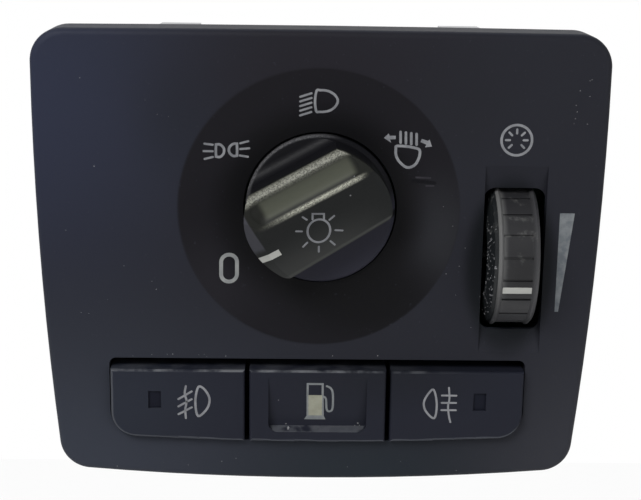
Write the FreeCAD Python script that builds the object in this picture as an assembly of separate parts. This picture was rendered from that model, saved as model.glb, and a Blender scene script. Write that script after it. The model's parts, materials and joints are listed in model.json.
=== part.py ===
import FreeCAD, Part
import math
import os

# Headlight switch panel of a car: bezel, rotary light knob, dimmer thumbwheel,
# three push buttons, circuit board, rear housing and its fixings.
# Millimetres. +X right and +Z up as seen by the driver, +Y into the dashboard.
# The origin is in the plane of the bezel's rear rim, at the middle of the panel.

# Bezel outline and walls
PANEL_HALF_WIDTH = 61.0      # widest, near the top
PANEL_TOP = 50.0
PANEL_BOTTOM = -50.0
SIDE_RADIUS = 800.0          # gentle bow of the tapering sides
SIDE_WIDEST_Z = 37.0
TOP_CROWN = 0.3
BOTTOM_CROWN = 2.6
CORNER_RADIUS = 7.0
BEZEL_DEPTH = 11.0
BEZEL_FRONT_WALL = 2.6
BEZEL_SIDE_WALL = 2.2
BEZEL_EDGE_ROUND = 1.5

# Knob and the dish around it
KNOB_Z = 12.0
KNOB_RADIUS = 16.0
KNOB_GAP = 0.5
DISH_RADIUS = 30.0
DISH_DEPTH = 2.2
DISH_WALL = 2.2
BACKING_MARGIN = 1.0         # how far the dish's thickened wall reaches past the dish
BACKING_TAPER = 5.0
KNOB_REST_ANGLE = 209.0      # pointer end of the grip, measured from +X towards +Z
KNOB_SWEEP = 180.0
DETENT_STEP = 60.0
DISC_THICKNESS = 6.0
DISC_CHAMFER = 0.4
SKIRT_WALL = 2.0
DISC_PLATE = 2.6
GRIP_HEIGHT = 12.0
GRIP_LOW_HEIGHT = 5.2
GRIP_HIGH_SIDE = 11.6        # from the knob's axis to the high edge
GRIP_LOW_SIDE = 9.4          # at the pointer's end; the grip narrows to the other
GRIP_TAPER = 3.3             # degrees
GRIP_SECOND_RIDGE = 4.4      # where the crest ends and the wide slope starts
GRIP_HOLLOW = 0.8            # how far the wide slope sags below a straight line
GRIP_FOOT_RADIUS = 2.4       # hollow foot of the high side
GRIP_RIDGE_ROUND = 1.9
GRIP_CORNER_ROUND = 2.4      # upright corners at the low side
GRIP_INSET = 0.5             # grip's ends inside the disc's rim
GRIP_SHIFT = 0.45            # grip's round outline off the axis, towards the pointer
FACET_START = 13.4           # along the grip, where its end facet begins
FACET_LEAN = 30.0            # degrees below the slope
GROOVE_HALF_WIDTH = 2.85
GROOVE_DEPTH = 1.1
GROOVE_HALF_LENGTH = 12.2
GROOVE_OFFSET = 7.6          # from the knob's axis to the groove's middle line
POINTER_OFFSET = 2.5         # from the knob's axis to the pointer line
POINTER_WIDTH = 1.5
POINTER_LENGTH = 5.0
POINTER_DEPTH = 0.8

# Shaft, detent cam and switch core
SHAFT_RADIUS = 3.0
SHAFT_FLAT = 2.2             # from the shaft's axis to its flat
SHAFT_BOSS_RADIUS = 5.0
SHAFT_STEP_GAP = 1.0         # boss begins this far in front of the core
BEARING_GAP = 0.05
FIT_GAP = 0.02
HUB_RADIUS = 5.6
CAM_RADIUS = 10.5
CAM_NOTCH_RADIUS = 1.8
CAM_NOTCH_DEPTH = 0.9
CAM_THICKNESS = 3.2
CORE_RADIUS = 15.4
CORE_WALL = 1.6
CORE_FRONT = -3.2
CAM_FRONT = 1.5
CORE_NECK_WALL = 2.0         # round the bearing
CORE_NECK_GAP = 0.3          # neck to the cam
DETENT_STRIP = 0.5
DETENT_WIDTH = 2.6
DETENT_GAP = 0.3             # bump to the notch
SPRING_END_GAP = 0.05
ROTOR_THICKNESS = 2.4
ROTOR_GAP = 1.2              # rotor's back to the board, where the wipers reach
HUB_BACK_GAP = 1.5           # knob's hub to the core
HUB_START = 1.0              # hub and bore start this far inside the disc's plate
WIPER_COUNT = 3
WIPER_FIRST_RADIUS = 5.4
WIPER_PITCH = 2.0
WIPER_WIDTH = 1.2
WIPER_STRIP = 0.3
WIPER_FOOT_HALF = 1.5
WIPER_REACH = 5.4
WIPER_PAD = 0.4
WIPER_GAP = 0.25             # finger tip to the board

# Dimmer thumbwheel
WHEEL_FROM_SIDE = 19.2       # wheel's middle to the panel's widest side
WHEEL_Z = 1.1
WHEEL_RADIUS = 15.7
WHEEL_WIDTH = 9.0
WHEEL_PROUD = 8.75           # how far the wheel stands out of the panel
WHEEL_RIM = 2.4
WHEEL_SIDE = 1.6             # closed left side of the wheel
WHEEL_HUB_RADIUS = 3.6
WHEEL_BAND_DEPTH = 0.45      # hollow middle band of the tread
WHEEL_CHAMFER = 0.6
WHEEL_SHOULDER = 0.5         # width of the slope between band and shoulders
WHEEL_RIB_COUNT = 20
WHEEL_RIB_CUT = 0.35
WHEEL_RIB_SLIT = 0.6
WHEEL_REST_ANGLE = -17.5     # of the white mark, below the wheel's middle
MARK_HEIGHT = 1.5
MARK_WIDTH = 6.2
MARK_DEPTH = 0.9
MARK_PROUD = 0.05
SLOT_WIDTH = 13.4
SLOT_HEIGHT = 31.6
SLOT_CORNER = 2.6
TROUGH_REACH = 21.0          # half length of the finger trough along the slot
TROUGH_RADIUS = 74.0
AXLE_RADIUS = 1.5
BRACKET_WALL = 1.6
BRACKET_HALF_HEIGHT = 4.0
BRACKET_BASE = 1.3
BRACKET_GAP = 0.4            # arms to the slot's edges
POT_RADIUS = 3.9
POT_HOUSING_GAP = 0.8
POT_FOOT_HALF = 3.6
POT_CAP = 0.8                # closed end behind the axle
AXLE_END_GAP = 0.2

# Push buttons and their window in the bezel
WINDOW_FROM_SIDE = 15.3      # window's end to the panel's widest side
WINDOW_TOP = -21.6
WINDOW_BOTTOM = -40.7        # at the middle; it rises to the sides
WINDOW_BOTTOM_CROWN = 1.4
WINDOW_TOP_CORNER = 1.5
WINDOW_LOW_CORNER = 6.0
BUTTON_TOP_GAP = 2.1
BUTTON_GAP = 0.4
BUTTON_SPACING = 1.0         # slit between neighbouring buttons
CENTRE_HALF_WIDTH = 15.0
BUTTON_PROUD = 2.0
BUTTON_TRAVEL = 2.0
BUTTON_BACK = -0.5           # rear edge of the button's skirt
BUTTON_WALL = 1.4
BUTTON_FRONT_WALL = 2.2
BUTTON_EDGE_ROUND = 0.7
STEM_RADIUS = 2.6
INDICATOR_FROM_END = 10.0    # indicator's middle to the window's end
INDICATOR_BELOW_TOP = 9.0    # and below the window's top
INDICATOR_WIDTH = 2.8
INDICATOR_HEIGHT = 4.0
INDICATOR_RECESS = 0.5
LENS_FLANGE = 0.8
LENS_FLANGE_THICKNESS = 1.0
LENS_TAIL_GAP = 0.3
LENS_GUIDE_GAP = 0.2         # window of the guide's floor round the light pipe
LENS_TAIL = 5.0              # reach of the light pipe behind the button
SCOOP_HALF_WIDTH = 10.8
SCOOP_FROM_TOP = 3.6         # scoop's upper edge below the window's top
SCOOP_FROM_BOTTOM = 2.8
SCOOP_DEPTH = 1.8
SCOOP_CORNER = 2.0
SCOOP_LEDGE = 0.9            # slope of the ledge at the scoop's foot
SCOOP_FLOOR = 0.7
DOME_BASE_RADIUS = 4.8
DOME_TOP_RADIUS = 3.2
DOME_HEIGHT = 5.6
DOME_SHEET = 1.0
DOME_BORDER = 0.7
DOME_SKIN = 0.8
STEM_ROOT = 0.5
DOME_LAMP_GAP = 0.4          # dome's foot to the lamp beside it
GUIDE_WALL = 1.0
GUIDE_FLOOR = 1.2
STEM_GAP = 0.4
STOP_GAP = 0.5               # left between a pressed button and the guide's floor

# Rear housing, board and fixings
HOUSING_INSET = 3.4
HOUSING_WALL = 1.8
HOUSING_BACK = 34.0
HOUSING_BACK_WALL = 2.0
HOUSING_CORNER = 5.0
BOARD_FRONT = 14.0
BOARD_THICKNESS = 1.6
BOARD_GAP = 0.6              # board's edge to the housing's inner wall
BOARD_CORNER = 2.5
TOWER_ROOT = 0.6             # how far a tower sinks into the side wall
TOWER_FROM_TOP = 13.0
TOWER_ABOVE_WINDOW = 3.6
TOWER_GAP = 0.6              # board's notch round a tower
TOWER_RADIUS = 4.4
TOWER_BORE = 3.3
TOWER_FRONT = 4.0
TOWER_FLOOR = 2.0
BOSS_RADIUS = 3.0
SCREW_RADIUS = 1.3
SCREW_CLEARANCE = 0.3
PILOT_GAP = 0.1
PILOT_FLOOR = 1.0            # boss metal left in front of a screw's pilot hole
SCREW_LENGTH = 10.0
SCREW_HEAD_RADIUS = 2.7
SCREW_HEAD_HEIGHT = 1.9
SCREW_HEAD_CHAMFER = 0.6
POST_FROM_SIDE = 25.0
POST_FROM_TOP = 13.0
POST_ABOVE_WINDOW = 7.1
POST_RADIUS = 3.0
BOARD_SCREW_LENGTH = 7.0
VENT_COUNT = 7
VENT_WIDTH = 1.6
VENT_LENGTH = 14.0
VENT_PITCH = 4.4
HOUSING_CHAMFER = 1.0
CONNECTOR_POST_GAP = 3.5     # between the connector and the post beside it
CONNECTOR_ABOVE_WINDOW = 5.6
CONNECTOR_WIDTH = 27.0
CONNECTOR_HEIGHT = 13.0
CONNECTOR_WALL = 1.5
CONNECTOR_BACK = 44.0
CONNECTOR_DEPTH = 15.0       # of the socket
CONNECTOR_GAP = 0.3
CONNECTOR_CORNER = 2.2
KEY_HALF_WIDTH = 2.0         # slot in the socket's upper wall that keys the plug
KEY_LENGTH = 8.0
KEY_SINK = 1.0
PIN_COUNT = 8
PIN_ROWS = 2
PIN_PITCH = 2.8
PIN_ROW_PITCH = 5.0
PIN_SIDE = 0.64
PIN_REACH = 8.0
CLIP_FROM_SIDE = 29.0
CLIP_WIDTH = 9.0
CLIP_STRIP = 0.6
CLIP_FRONT = 4.0
CLIP_LENGTH = 22.0
CLIP_BULGE = 1.9
CLIP_TIP_RISE = 1.5          # free end of the arm above the pad
CLIP_CREST_SHARE = 0.35      # where the arm is highest, as a share of its length
CLIP_BEND = 0.9              # of the hairpin at the rear
PAD_RISE = 0.1               # clip pad outside the bowed wall
PAD_ROOT = 2.0
RAIL_WIDTH = 1.4
RAIL_HEIGHT = 0.9
RAIL_GAP = 0.1
RAIL_END = 1.0
GUIDE_KNOB_GAP = 1.3         # light guide ring to the knob's hole
GUIDE_RING_WIDTH = 6.0
GUIDE_THICKNESS = 2.0
GUIDE_LEG_RADIUS = 2.0
GUIDE_LEG_INSET = 0.5
LAMP_HALF_WIDTH = 1.6
LAMP_HALF_HEIGHT = 1.4
LAMP_THICKNESS = 1.1
LAMP_GAP = 0.3
CHIP_X = 14.0
CHIP_Z = 2.0
CHIP_HALF_WIDTH = 5.0
CHIP_HALF_HEIGHT = 3.8
CHIP_STAND = 0.3
CHIP_THICKNESS = 1.8
CHIP_LEGS = 8                # on each side
CHIP_LEG_PITCH = 1.27
CHIP_LEG_WIDTH = 0.4
CHIP_LEG_REACH = 1.4
CHIP_LEG_THICKNESS = 0.5
CAPACITOR_RADIUS = 4.0
CAPACITOR_HEIGHT = 9.0
SMALL_CAPACITOR_RADIUS = 3.2
SMALL_CAPACITOR_HEIGHT = 8.0
CAPACITOR_CHAMFER = 0.5
CAPACITOR_BELOW_POST = 14.0
CAPACITOR_X = 26.0
CAPACITOR_PAIR_X = -12.0
CAPACITOR_PAIR_GAP = 2.8
CUT_MARGIN = 1.0             # how far a cutting block reaches past the piece it cuts

# Places worked out from the sizes above
PANEL_FRONT = -BEZEL_DEPTH
WALL_BACK = PANEL_FRONT + BEZEL_FRONT_WALL
DISH_BACK = PANEL_FRONT + DISH_DEPTH + DISH_WALL
DISC_BACK = PANEL_FRONT + DISC_THICKNESS
WHEEL_X = PANEL_HALF_WIDTH - WHEEL_FROM_SIDE
WHEEL_Y = PANEL_FRONT - WHEEL_PROUD + WHEEL_RADIUS
BOARD_BACK = BOARD_FRONT + BOARD_THICKNESS
LAMP_FRONT = BOARD_FRONT - LAMP_THICKNESS
COVER_FRONT = HOUSING_BACK - HOUSING_BACK_WALL
WINDOW_HALF_WIDTH = PANEL_HALF_WIDTH - WINDOW_FROM_SIDE
BUTTON_FRONT = PANEL_FRONT - BUTTON_PROUD
BUTTON_TOP = WINDOW_TOP - BUTTON_TOP_GAP
SIDE_INNER = CENTRE_HALF_WIDTH + BUTTON_SPACING
SIDE_OUTER = WINDOW_HALF_WIDTH - BUTTON_GAP
BUTTON_MID_Z = (BUTTON_TOP + WINDOW_BOTTOM) / 2
INDICATOR_X = WINDOW_HALF_WIDTH - INDICATOR_FROM_END
INDICATOR_Z = WINDOW_TOP - INDICATOR_BELOW_TOP
DOME_FOOT = DOME_BASE_RADIUS + DOME_BORDER
SIDE_STEM_X = INDICATOR_X - LAMP_HALF_WIDTH - DOME_LAMP_GAP - DOME_FOOT
SCOOP_TOP = WINDOW_TOP - SCOOP_FROM_TOP
SCOOP_BOTTOM = WINDOW_BOTTOM + SCOOP_FROM_BOTTOM
GUIDE_FLOOR_FRONT = BUTTON_BACK + BUTTON_TRAVEL + STOP_GAP
DOME_TOP = BOARD_FRONT - DOME_HEIGHT
TOWER_ZS = (PANEL_TOP - TOWER_FROM_TOP, WINDOW_TOP + TOWER_ABOVE_WINDOW)
POST_X = PANEL_HALF_WIDTH - POST_FROM_SIDE
POST_ZS = (PANEL_TOP - POST_FROM_TOP, WINDOW_TOP + POST_ABOVE_WINDOW)
CONNECTOR_X = POST_RADIUS + CONNECTOR_POST_GAP + CONNECTOR_WIDTH / 2 - POST_X
CONNECTOR_Z = WINDOW_TOP + CONNECTOR_ABOVE_WINDOW
CLIP_X = PANEL_HALF_WIDTH - CLIP_FROM_SIDE
GUIDE_INNER = KNOB_RADIUS + KNOB_GAP + GUIDE_KNOB_GAP
GUIDE_OUTER = GUIDE_INNER + GUIDE_RING_WIDTH
GUIDE_LEG_X = GUIDE_INNER + GUIDE_LEG_RADIUS + GUIDE_LEG_INSET
CAPACITOR_Z = PANEL_TOP - POST_FROM_TOP - CAPACITOR_BELOW_POST
TOUCH = 0.01                 # lengths below this count as nothing
Y_AXIS = FreeCAD.Vector(0, 1, 0)
X_AXIS = FreeCAD.Vector(1, 0, 0)


def vec(x, y, z):
    return FreeCAD.Vector(x, y, z)


def box(x0, x1, y0, y1, z0, z1):
    return Part.makeBox(x1 - x0, y1 - y0, z1 - z0, vec(x0, y0, z0))


def rod(radius, y0, y1, x=0.0, z=0.0):
    """Cylinder along Y."""
    return Part.makeCylinder(radius, y1 - y0, vec(x, y0, z), Y_AXIS)


def cross_rod(radius, x0, x1, y, z):
    """Cylinder along X."""
    return Part.makeCylinder(radius, x1 - x0, vec(x0, y, z), X_AXIS)


def tube(outer, inner, y0, y1, x=0.0, z=0.0):
    return rod(outer, y0, y1, x, z).cut(rod(inner, y0, y1, x, z))


def side_prism(points, x0, x1):
    """Polygon of (y, z) points, drawn at x0 and pulled to x1."""
    corners = [vec(x0, y, z) for y, z in points]
    wire = Part.makePolygon(corners + corners[:1])
    return Part.Face(wire).extrude(vec(x1 - x0, 0, 0))


def round_upright_edges(shape, radius, chosen):
    """Round the edges along Y whose middle passes the test chosen(x, z)."""
    edges = []
    for edge in shape.Edges:
        box_of_edge = edge.BoundBox
        if box_of_edge.XLength < TOUCH and box_of_edge.ZLength < TOUCH:
            middle = box_of_edge.Center
            if chosen(middle.x, middle.z):
                edges.append(edge)
    return shape.makeFillet(radius, edges)


def rim_edges(shape, y):
    """Every edge that lies in the plane at y."""
    return [edge for edge in shape.Edges if abs(edge.BoundBox.YMin - y) < TOUCH
            and abs(edge.BoundBox.YMax - y) < TOUCH]


def round_face_rim(shape, radius, y):
    return shape.makeFillet(radius, rim_edges(shape, y))


def chamfer_face_rim(shape, size, y):
    return shape.makeChamfer(size, rim_edges(shape, y))


def side_at(z, inset=0.0):
    """Half width of the panel at a height."""
    return PANEL_HALF_WIDTH - inset - (z - SIDE_WIDEST_Z) ** 2 / (2 * SIDE_RADIUS)


def panel_block(inset, y0, y1, corner):
    """The panel's bowed, tapering outline, drawn in by inset, as a block."""
    high = PANEL_TOP - inset
    low = PANEL_BOTTOM + inset
    high_corner = high - TOP_CROWN
    low_corner = low + BOTTOM_CROWN
    mid = (high_corner + low_corner) / 2
    top_x = side_at(high_corner, inset)
    low_x = side_at(low_corner, inset)
    mid_x = side_at(mid, inset)
    edges = [
        Part.Arc(vec(-top_x, y0, high_corner), vec(0, y0, high), vec(top_x, y0, high_corner)),
        Part.Arc(vec(top_x, y0, high_corner), vec(mid_x, y0, mid), vec(low_x, y0, low_corner)),
        Part.Arc(vec(low_x, y0, low_corner), vec(0, y0, low), vec(-low_x, y0, low_corner)),
        Part.Arc(vec(-low_x, y0, low_corner), vec(-mid_x, y0, mid), vec(-top_x, y0, high_corner)),
    ]
    wire = Part.Wire([arc.toShape() for arc in edges])
    block = Part.Face(wire).extrude(vec(0, y1 - y0, 0))
    return round_upright_edges(block, corner, lambda x, z: True)


def window_floor(x, gap=0.0):
    """Height of the button window's bowed lower edge."""
    return WINDOW_BOTTOM + gap + WINDOW_BOTTOM_CROWN * (x / WINDOW_HALF_WIDTH) ** 2


def window_block(x0, x1, top, gap, y0, y1):
    """A block as wide as x0 to x1 whose lower edge follows the window's."""
    mid = (x0 + x1) / 2
    floor = Part.Arc(vec(x0, y0, window_floor(x0, gap)), vec(mid, y0, window_floor(mid, gap)),
                     vec(x1, y0, window_floor(x1, gap))).toShape()
    rest = Part.makePolygon([vec(x1, y0, window_floor(x1, gap)), vec(x1, y0, top),
                             vec(x0, y0, top), vec(x0, y0, window_floor(x0, gap))])
    wire = Part.Wire([floor] + rest.Edges)
    return Part.Face(wire).extrude(vec(0, y1 - y0, 0))


def window_outline(grow, y0, y1):
    """The button window's rounded outline, grown all round, as a block."""
    window = window_block(-WINDOW_HALF_WIDTH - grow, WINDOW_HALF_WIDTH + grow, WINDOW_TOP + grow,
                          -grow, y0, y1)
    window = round_upright_edges(window, WINDOW_LOW_CORNER + grow, lambda x, z: z < BUTTON_MID_Z)
    return round_upright_edges(window, WINDOW_TOP_CORNER + grow, lambda x, z: z > BUTTON_MID_Z)


def dish_hollow():
    """The ball whose cap is the shallow dish around the knob."""
    ball = (DISH_RADIUS ** 2 + DISH_DEPTH ** 2) / (2 * DISH_DEPTH)
    return Part.makeSphere(ball, vec(0, PANEL_FRONT + DISH_DEPTH - ball, KNOB_Z))


def slot_block(width, height, corner, y0, y1):
    block = box(WHEEL_X - width / 2, WHEEL_X + width / 2, y0, y1,
                WHEEL_Z - height / 2, WHEEL_Z + height / 2)
    return round_upright_edges(block, corner, lambda x, z: True)


def finger_trough():
    """Long shallow hollow that lets a finger roll the thumbwheel past the slot."""
    depth = TROUGH_REACH ** 2 / (2 * TROUGH_RADIUS)
    roll = cross_rod(TROUGH_RADIUS, WHEEL_X - SLOT_WIDTH / 2, WHEEL_X + SLOT_WIDTH / 2,
                     PANEL_FRONT + depth - TROUGH_RADIUS, WHEEL_Z)
    ends = box(WHEEL_X - SLOT_WIDTH, WHEEL_X + SLOT_WIDTH, PANEL_FRONT - CUT_MARGIN,
               PANEL_FRONT + depth, WHEEL_Z - TROUGH_REACH, WHEEL_Z + TROUGH_REACH)
    return roll.common(ends)


def tower_places():
    """Towers stand against the housing's tapering side walls."""
    places = []
    for z in TOWER_ZS:
        x = side_at(z, HOUSING_INSET + HOUSING_WALL) - TOWER_RADIUS + TOWER_ROOT
        places += [(-x, z), (x, z)]
    return places


def post_places():
    return [(side * POST_X, z) for z in POST_ZS for side in (-1, 1)]


def front_bezel():
    shell = panel_block(0, PANEL_FRONT, 0, CORNER_RADIUS)
    shell = round_face_rim(shell, BEZEL_EDGE_ROUND, PANEL_FRONT)
    inside = panel_block(BEZEL_SIDE_WALL, WALL_BACK, CUT_MARGIN, CORNER_RADIUS - BEZEL_SIDE_WALL)
    shell = shell.cut(inside)
    rim = DISH_RADIUS + BACKING_MARGIN
    backing = Part.makeCone(rim, rim - BACKING_TAPER, DISH_BACK - WALL_BACK,
                            vec(0, WALL_BACK, KNOB_Z), Y_AXIS)
    shell = shell.fuse(backing)
    for x, z in tower_places():
        shell = shell.fuse(rod(BOSS_RADIUS, WALL_BACK, TOWER_FRONT, x, z))
        shell = shell.cut(rod(SCREW_RADIUS + PILOT_GAP, WALL_BACK + PILOT_FLOOR, TOWER_FRONT, x, z))
    before = PANEL_FRONT - CUT_MARGIN
    shell = shell.cut(dish_hollow())
    shell = shell.cut(rod(KNOB_RADIUS + KNOB_GAP, before, CUT_MARGIN, 0, KNOB_Z))
    shell = shell.cut(finger_trough())
    shell = shell.cut(slot_block(SLOT_WIDTH, SLOT_HEIGHT, SLOT_CORNER, before, CUT_MARGIN))
    return shell.cut(window_outline(0, before, CUT_MARGIN)).removeSplitter()


def turned_knob(shape):
    """Turn a knob piece from pointing along +X to its rest angle."""
    turned = shape.copy()
    turned.rotate(vec(0, 0, KNOB_Z), Y_AXIS, -KNOB_REST_ANGLE)
    return turned


def grip_slope_middle():
    """Middle of the hollow wide slope: its place from the axis and its height."""
    run = GRIP_LOW_SIDE + GRIP_SECOND_RIDGE
    fall = GRIP_HEIGHT - GRIP_LOW_HEIGHT
    chord = math.hypot(run, fall)
    middle = (GRIP_LOW_SIDE - GRIP_SECOND_RIDGE) / 2
    height = (GRIP_HEIGHT + GRIP_LOW_HEIGHT) / 2
    return middle - GRIP_HOLLOW * fall / chord, height - GRIP_HOLLOW * run / chord


def grip_bar(radius, sink):
    """Grip along +X, its high side towards -Z, within a radius and sunk into the disc."""
    reach = KNOB_RADIUS + CUT_MARGIN

    def at(side, height):
        return vec(-reach, PANEL_FRONT + sink - height, KNOB_Z + side)

    foot = -GRIP_HIGH_SIDE - GRIP_FOOT_RADIUS
    bend = GRIP_FOOT_RADIUS * (1 - math.sqrt(0.5))
    ridge = at(-GRIP_SECOND_RIDGE, GRIP_HEIGHT)
    low = at(GRIP_LOW_SIDE, GRIP_LOW_HEIGHT)
    heel = at(-GRIP_HIGH_SIDE, GRIP_FOOT_RADIUS)
    toe = at(foot, 0)
    edges = [
        Part.Arc(ridge, at(*grip_slope_middle()), low).toShape(),
        Part.makeLine(low, at(GRIP_LOW_SIDE, 0)),
        Part.makeLine(at(GRIP_LOW_SIDE, 0), toe),
        Part.Arc(toe, at(-GRIP_HIGH_SIDE - bend, bend), heel).toShape(),
        Part.makeLine(heel, at(-GRIP_HIGH_SIDE, GRIP_HEIGHT)),
        Part.makeLine(at(-GRIP_HIGH_SIDE, GRIP_HEIGHT), ridge),
    ]
    bar = Part.Face(Part.Wire(edges)).extrude(vec(2 * reach, 0, 0))
    high_edge = [edge for edge in bar.Edges if edge.BoundBox.XLength > reach
                 and abs(edge.BoundBox.YMax - PANEL_FRONT - sink + GRIP_HEIGHT) < TOUCH
                 and abs(edge.BoundBox.ZMin - KNOB_Z + GRIP_HIGH_SIDE) < TOUCH]
    bar = bar.makeFillet(GRIP_RIDGE_ROUND, high_edge)
    return bar.common(rod(radius, PANEL_FRONT - GRIP_HEIGHT - CUT_MARGIN, PANEL_FRONT,
                          GRIP_SHIFT, KNOB_Z))


def taper_block():
    """Block that slants the grip's low side towards the end without the pointer."""
    corner = vec(KNOB_RADIUS, PANEL_FRONT - GRIP_HEIGHT, KNOB_Z + GRIP_LOW_SIDE)
    size = 4 * KNOB_RADIUS
    block = Part.makeBox(size, size, size, vec(corner.x - size, corner.y, corner.z))
    block.rotate(corner, Y_AXIS, -GRIP_TAPER)
    return block


def end_facet():
    """Block that slants the wide slope's end at the pointer."""
    lean = math.degrees(math.atan2(GRIP_HEIGHT - GRIP_LOW_HEIGHT, GRIP_LOW_SIDE + GRIP_SECOND_RIDGE))
    side, height = grip_slope_middle()
    pivot = vec(FACET_START, PANEL_FRONT - height, KNOB_Z + side)
    size = 2 * KNOB_RADIUS
    block = Part.makeBox(2 * size, size, 2 * size,
                         vec(pivot.x - size, pivot.y - size, pivot.z - size))
    block.rotate(pivot, vec(0, 0, 1), FACET_LEAN)
    block.rotate(pivot, X_AXIS, -lean)
    return block


def finished_grip():
    """Grip with its taper, its slanted end and the finger groove along its crest."""
    bar = grip_bar(KNOB_RADIUS - GRIP_INSET, 0).cut(taper_block())
    corners = [edge for edge in bar.Edges if edge.BoundBox.XLength < TOUCH
               and edge.BoundBox.ZLength < TOUCH and edge.BoundBox.Center.z > KNOB_Z + GRIP_LOW_SIDE / 2]
    bar = bar.makeFillet(GRIP_CORNER_ROUND, corners).cut(end_facet())
    ball = (GROOVE_HALF_WIDTH ** 2 + GROOVE_DEPTH ** 2) / (2 * GROOVE_DEPTH)
    groove_y = PANEL_FRONT - GRIP_HEIGHT + GROOVE_DEPTH - ball
    groove_z = KNOB_Z - GROOVE_OFFSET
    straight = GROOVE_HALF_LENGTH - GROOVE_HALF_WIDTH
    groove = cross_rod(ball, -straight, straight, groove_y, groove_z)
    for end in (-straight, straight):
        groove = groove.fuse(Part.makeSphere(ball, vec(end, groove_y, groove_z)))
    return bar.cut(groove)


def knob():
    front = PANEL_FRONT
    disc = rod(KNOB_RADIUS, front, DISC_BACK, 0, KNOB_Z)
    disc = chamfer_face_rim(disc, DISC_CHAMFER, front)
    disc = disc.cut(rod(KNOB_RADIUS - SKIRT_WALL, front + DISC_PLATE, DISC_BACK, 0, KNOB_Z))
    inside = front + DISC_PLATE - HUB_START
    hub = rod(HUB_RADIUS, inside, CORE_FRONT - HUB_BACK_GAP, 0, KNOB_Z)
    whole = disc.fuse(finished_grip()).fuse(hub)
    whole = whole.cut(shaft_blank(SHAFT_RADIUS + FIT_GAP, SHAFT_FLAT + FIT_GAP, inside, 0))
    return turned_knob(whole.cut(pointer_blank()).removeSplitter())


def pointer_blank():
    """Groove of the pointer: along the slope to the grip's end, and down that end."""
    tip = KNOB_RADIUS + CUT_MARGIN
    slab = box(KNOB_RADIUS - POINTER_LENGTH, tip, PANEL_FRONT - GRIP_HEIGHT,
               PANEL_FRONT - GRIP_LOW_HEIGHT / 2,
               KNOB_Z + POINTER_OFFSET - POINTER_WIDTH / 2,
               KNOB_Z + POINTER_OFFSET + POINTER_WIDTH / 2)
    core = grip_bar(KNOB_RADIUS - GRIP_INSET - POINTER_DEPTH, POINTER_DEPTH)
    facet = end_facet()
    facet.translate(vec(-POINTER_DEPTH, POINTER_DEPTH, 0))
    return slab.cut(core.cut(facet))


def knob_pointer():
    """The insert fills its groove in the knob up to the grip's own surface."""
    return turned_knob(finished_grip().common(pointer_blank()))


def shaft_blank(radius, flat, y0, y1):
    whole = rod(radius, y0, y1, 0, KNOB_Z)
    return whole.cut(box(-radius, radius, y0 - CUT_MARGIN, y1 + CUT_MARGIN,
                         KNOB_Z + flat, KNOB_Z + radius + CUT_MARGIN))


def rotary_shaft():
    """D-shaped shaft with the bearing boss and the notched detent cam."""
    step = CORE_FRONT - SHAFT_STEP_GAP
    shaft = turned_knob(shaft_blank(SHAFT_RADIUS, SHAFT_FLAT, PANEL_FRONT + DISC_PLATE, step))
    shaft = shaft.fuse(rod(SHAFT_BOSS_RADIUS, step, CAM_FRONT, 0, KNOB_Z))
    cam_back = CAM_FRONT + CAM_THICKNESS
    cam = rod(CAM_RADIUS, CAM_FRONT, cam_back, 0, KNOB_Z)
    notch_centre = CAM_RADIUS + CAM_NOTCH_RADIUS - CAM_NOTCH_DEPTH
    for index in range(int(KNOB_SWEEP / DETENT_STEP) + 1):
        turn = math.radians(90 + index * DETENT_STEP)
        cam = cam.cut(rod(CAM_NOTCH_RADIUS, CAM_FRONT - CUT_MARGIN, cam_back + CUT_MARGIN,
                          notch_centre * math.cos(turn), KNOB_Z + notch_centre * math.sin(turn)))
    return shaft.fuse(cam).fuse(rod(SHAFT_RADIUS, cam_back, BOARD_FRONT - ROTOR_GAP, 0, KNOB_Z))


def contact_rotor():
    """Round carrier that the wipers are staked to."""
    back = BOARD_FRONT - ROTOR_GAP
    plate = tube(CAM_RADIUS, SHAFT_RADIUS + FIT_GAP, back - ROTOR_THICKNESS, back, 0, KNOB_Z)
    collar = tube(SHAFT_BOSS_RADIUS, SHAFT_RADIUS + FIT_GAP, CAM_FRONT + CAM_THICKNESS,
                  back - ROTOR_THICKNESS, 0, KNOB_Z)
    return plate.fuse(collar)


def contact_wipers():
    """Bent metal fingers that slide on the board's tracks."""
    top = BOARD_FRONT - ROTOR_GAP
    tip = BOARD_FRONT - WIPER_GAP
    outline = [(-WIPER_FOOT_HALF, top), (-WIPER_FOOT_HALF, top + WIPER_STRIP),
               (WIPER_FOOT_HALF, top + WIPER_STRIP), (WIPER_REACH - WIPER_PAD, tip),
               (WIPER_REACH, tip), (WIPER_REACH, tip - WIPER_STRIP), (WIPER_FOOT_HALF, top)]
    fingers = []
    for index in range(WIPER_COUNT):
        low = KNOB_Z + WIPER_FIRST_RADIUS + WIPER_PITCH * index - WIPER_WIDTH / 2
        corners = [vec(x, y, low) for x, y in outline]
        wire = Part.makePolygon(corners + corners[:1])
        fingers.append(Part.Face(wire).extrude(vec(0, 0, WIPER_WIDTH)))
    return Part.makeCompound(fingers)


def switch_core():
    """Cup that carries the shaft's bearing, open towards the board."""
    cup = rod(CORE_RADIUS, CORE_FRONT, BOARD_FRONT, 0, KNOB_Z)
    cup = cup.cut(rod(CORE_RADIUS - CORE_WALL, CORE_FRONT + CORE_WALL, BOARD_FRONT, 0, KNOB_Z))
    neck = rod(SHAFT_BOSS_RADIUS + CORE_NECK_WALL, CORE_FRONT, CAM_FRONT - CORE_NECK_GAP, 0, KNOB_Z)
    bore = rod(SHAFT_BOSS_RADIUS + BEARING_GAP, CORE_FRONT - CUT_MARGIN, CAM_FRONT, 0, KNOB_Z)
    return cup.fuse(neck).cut(bore)


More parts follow.
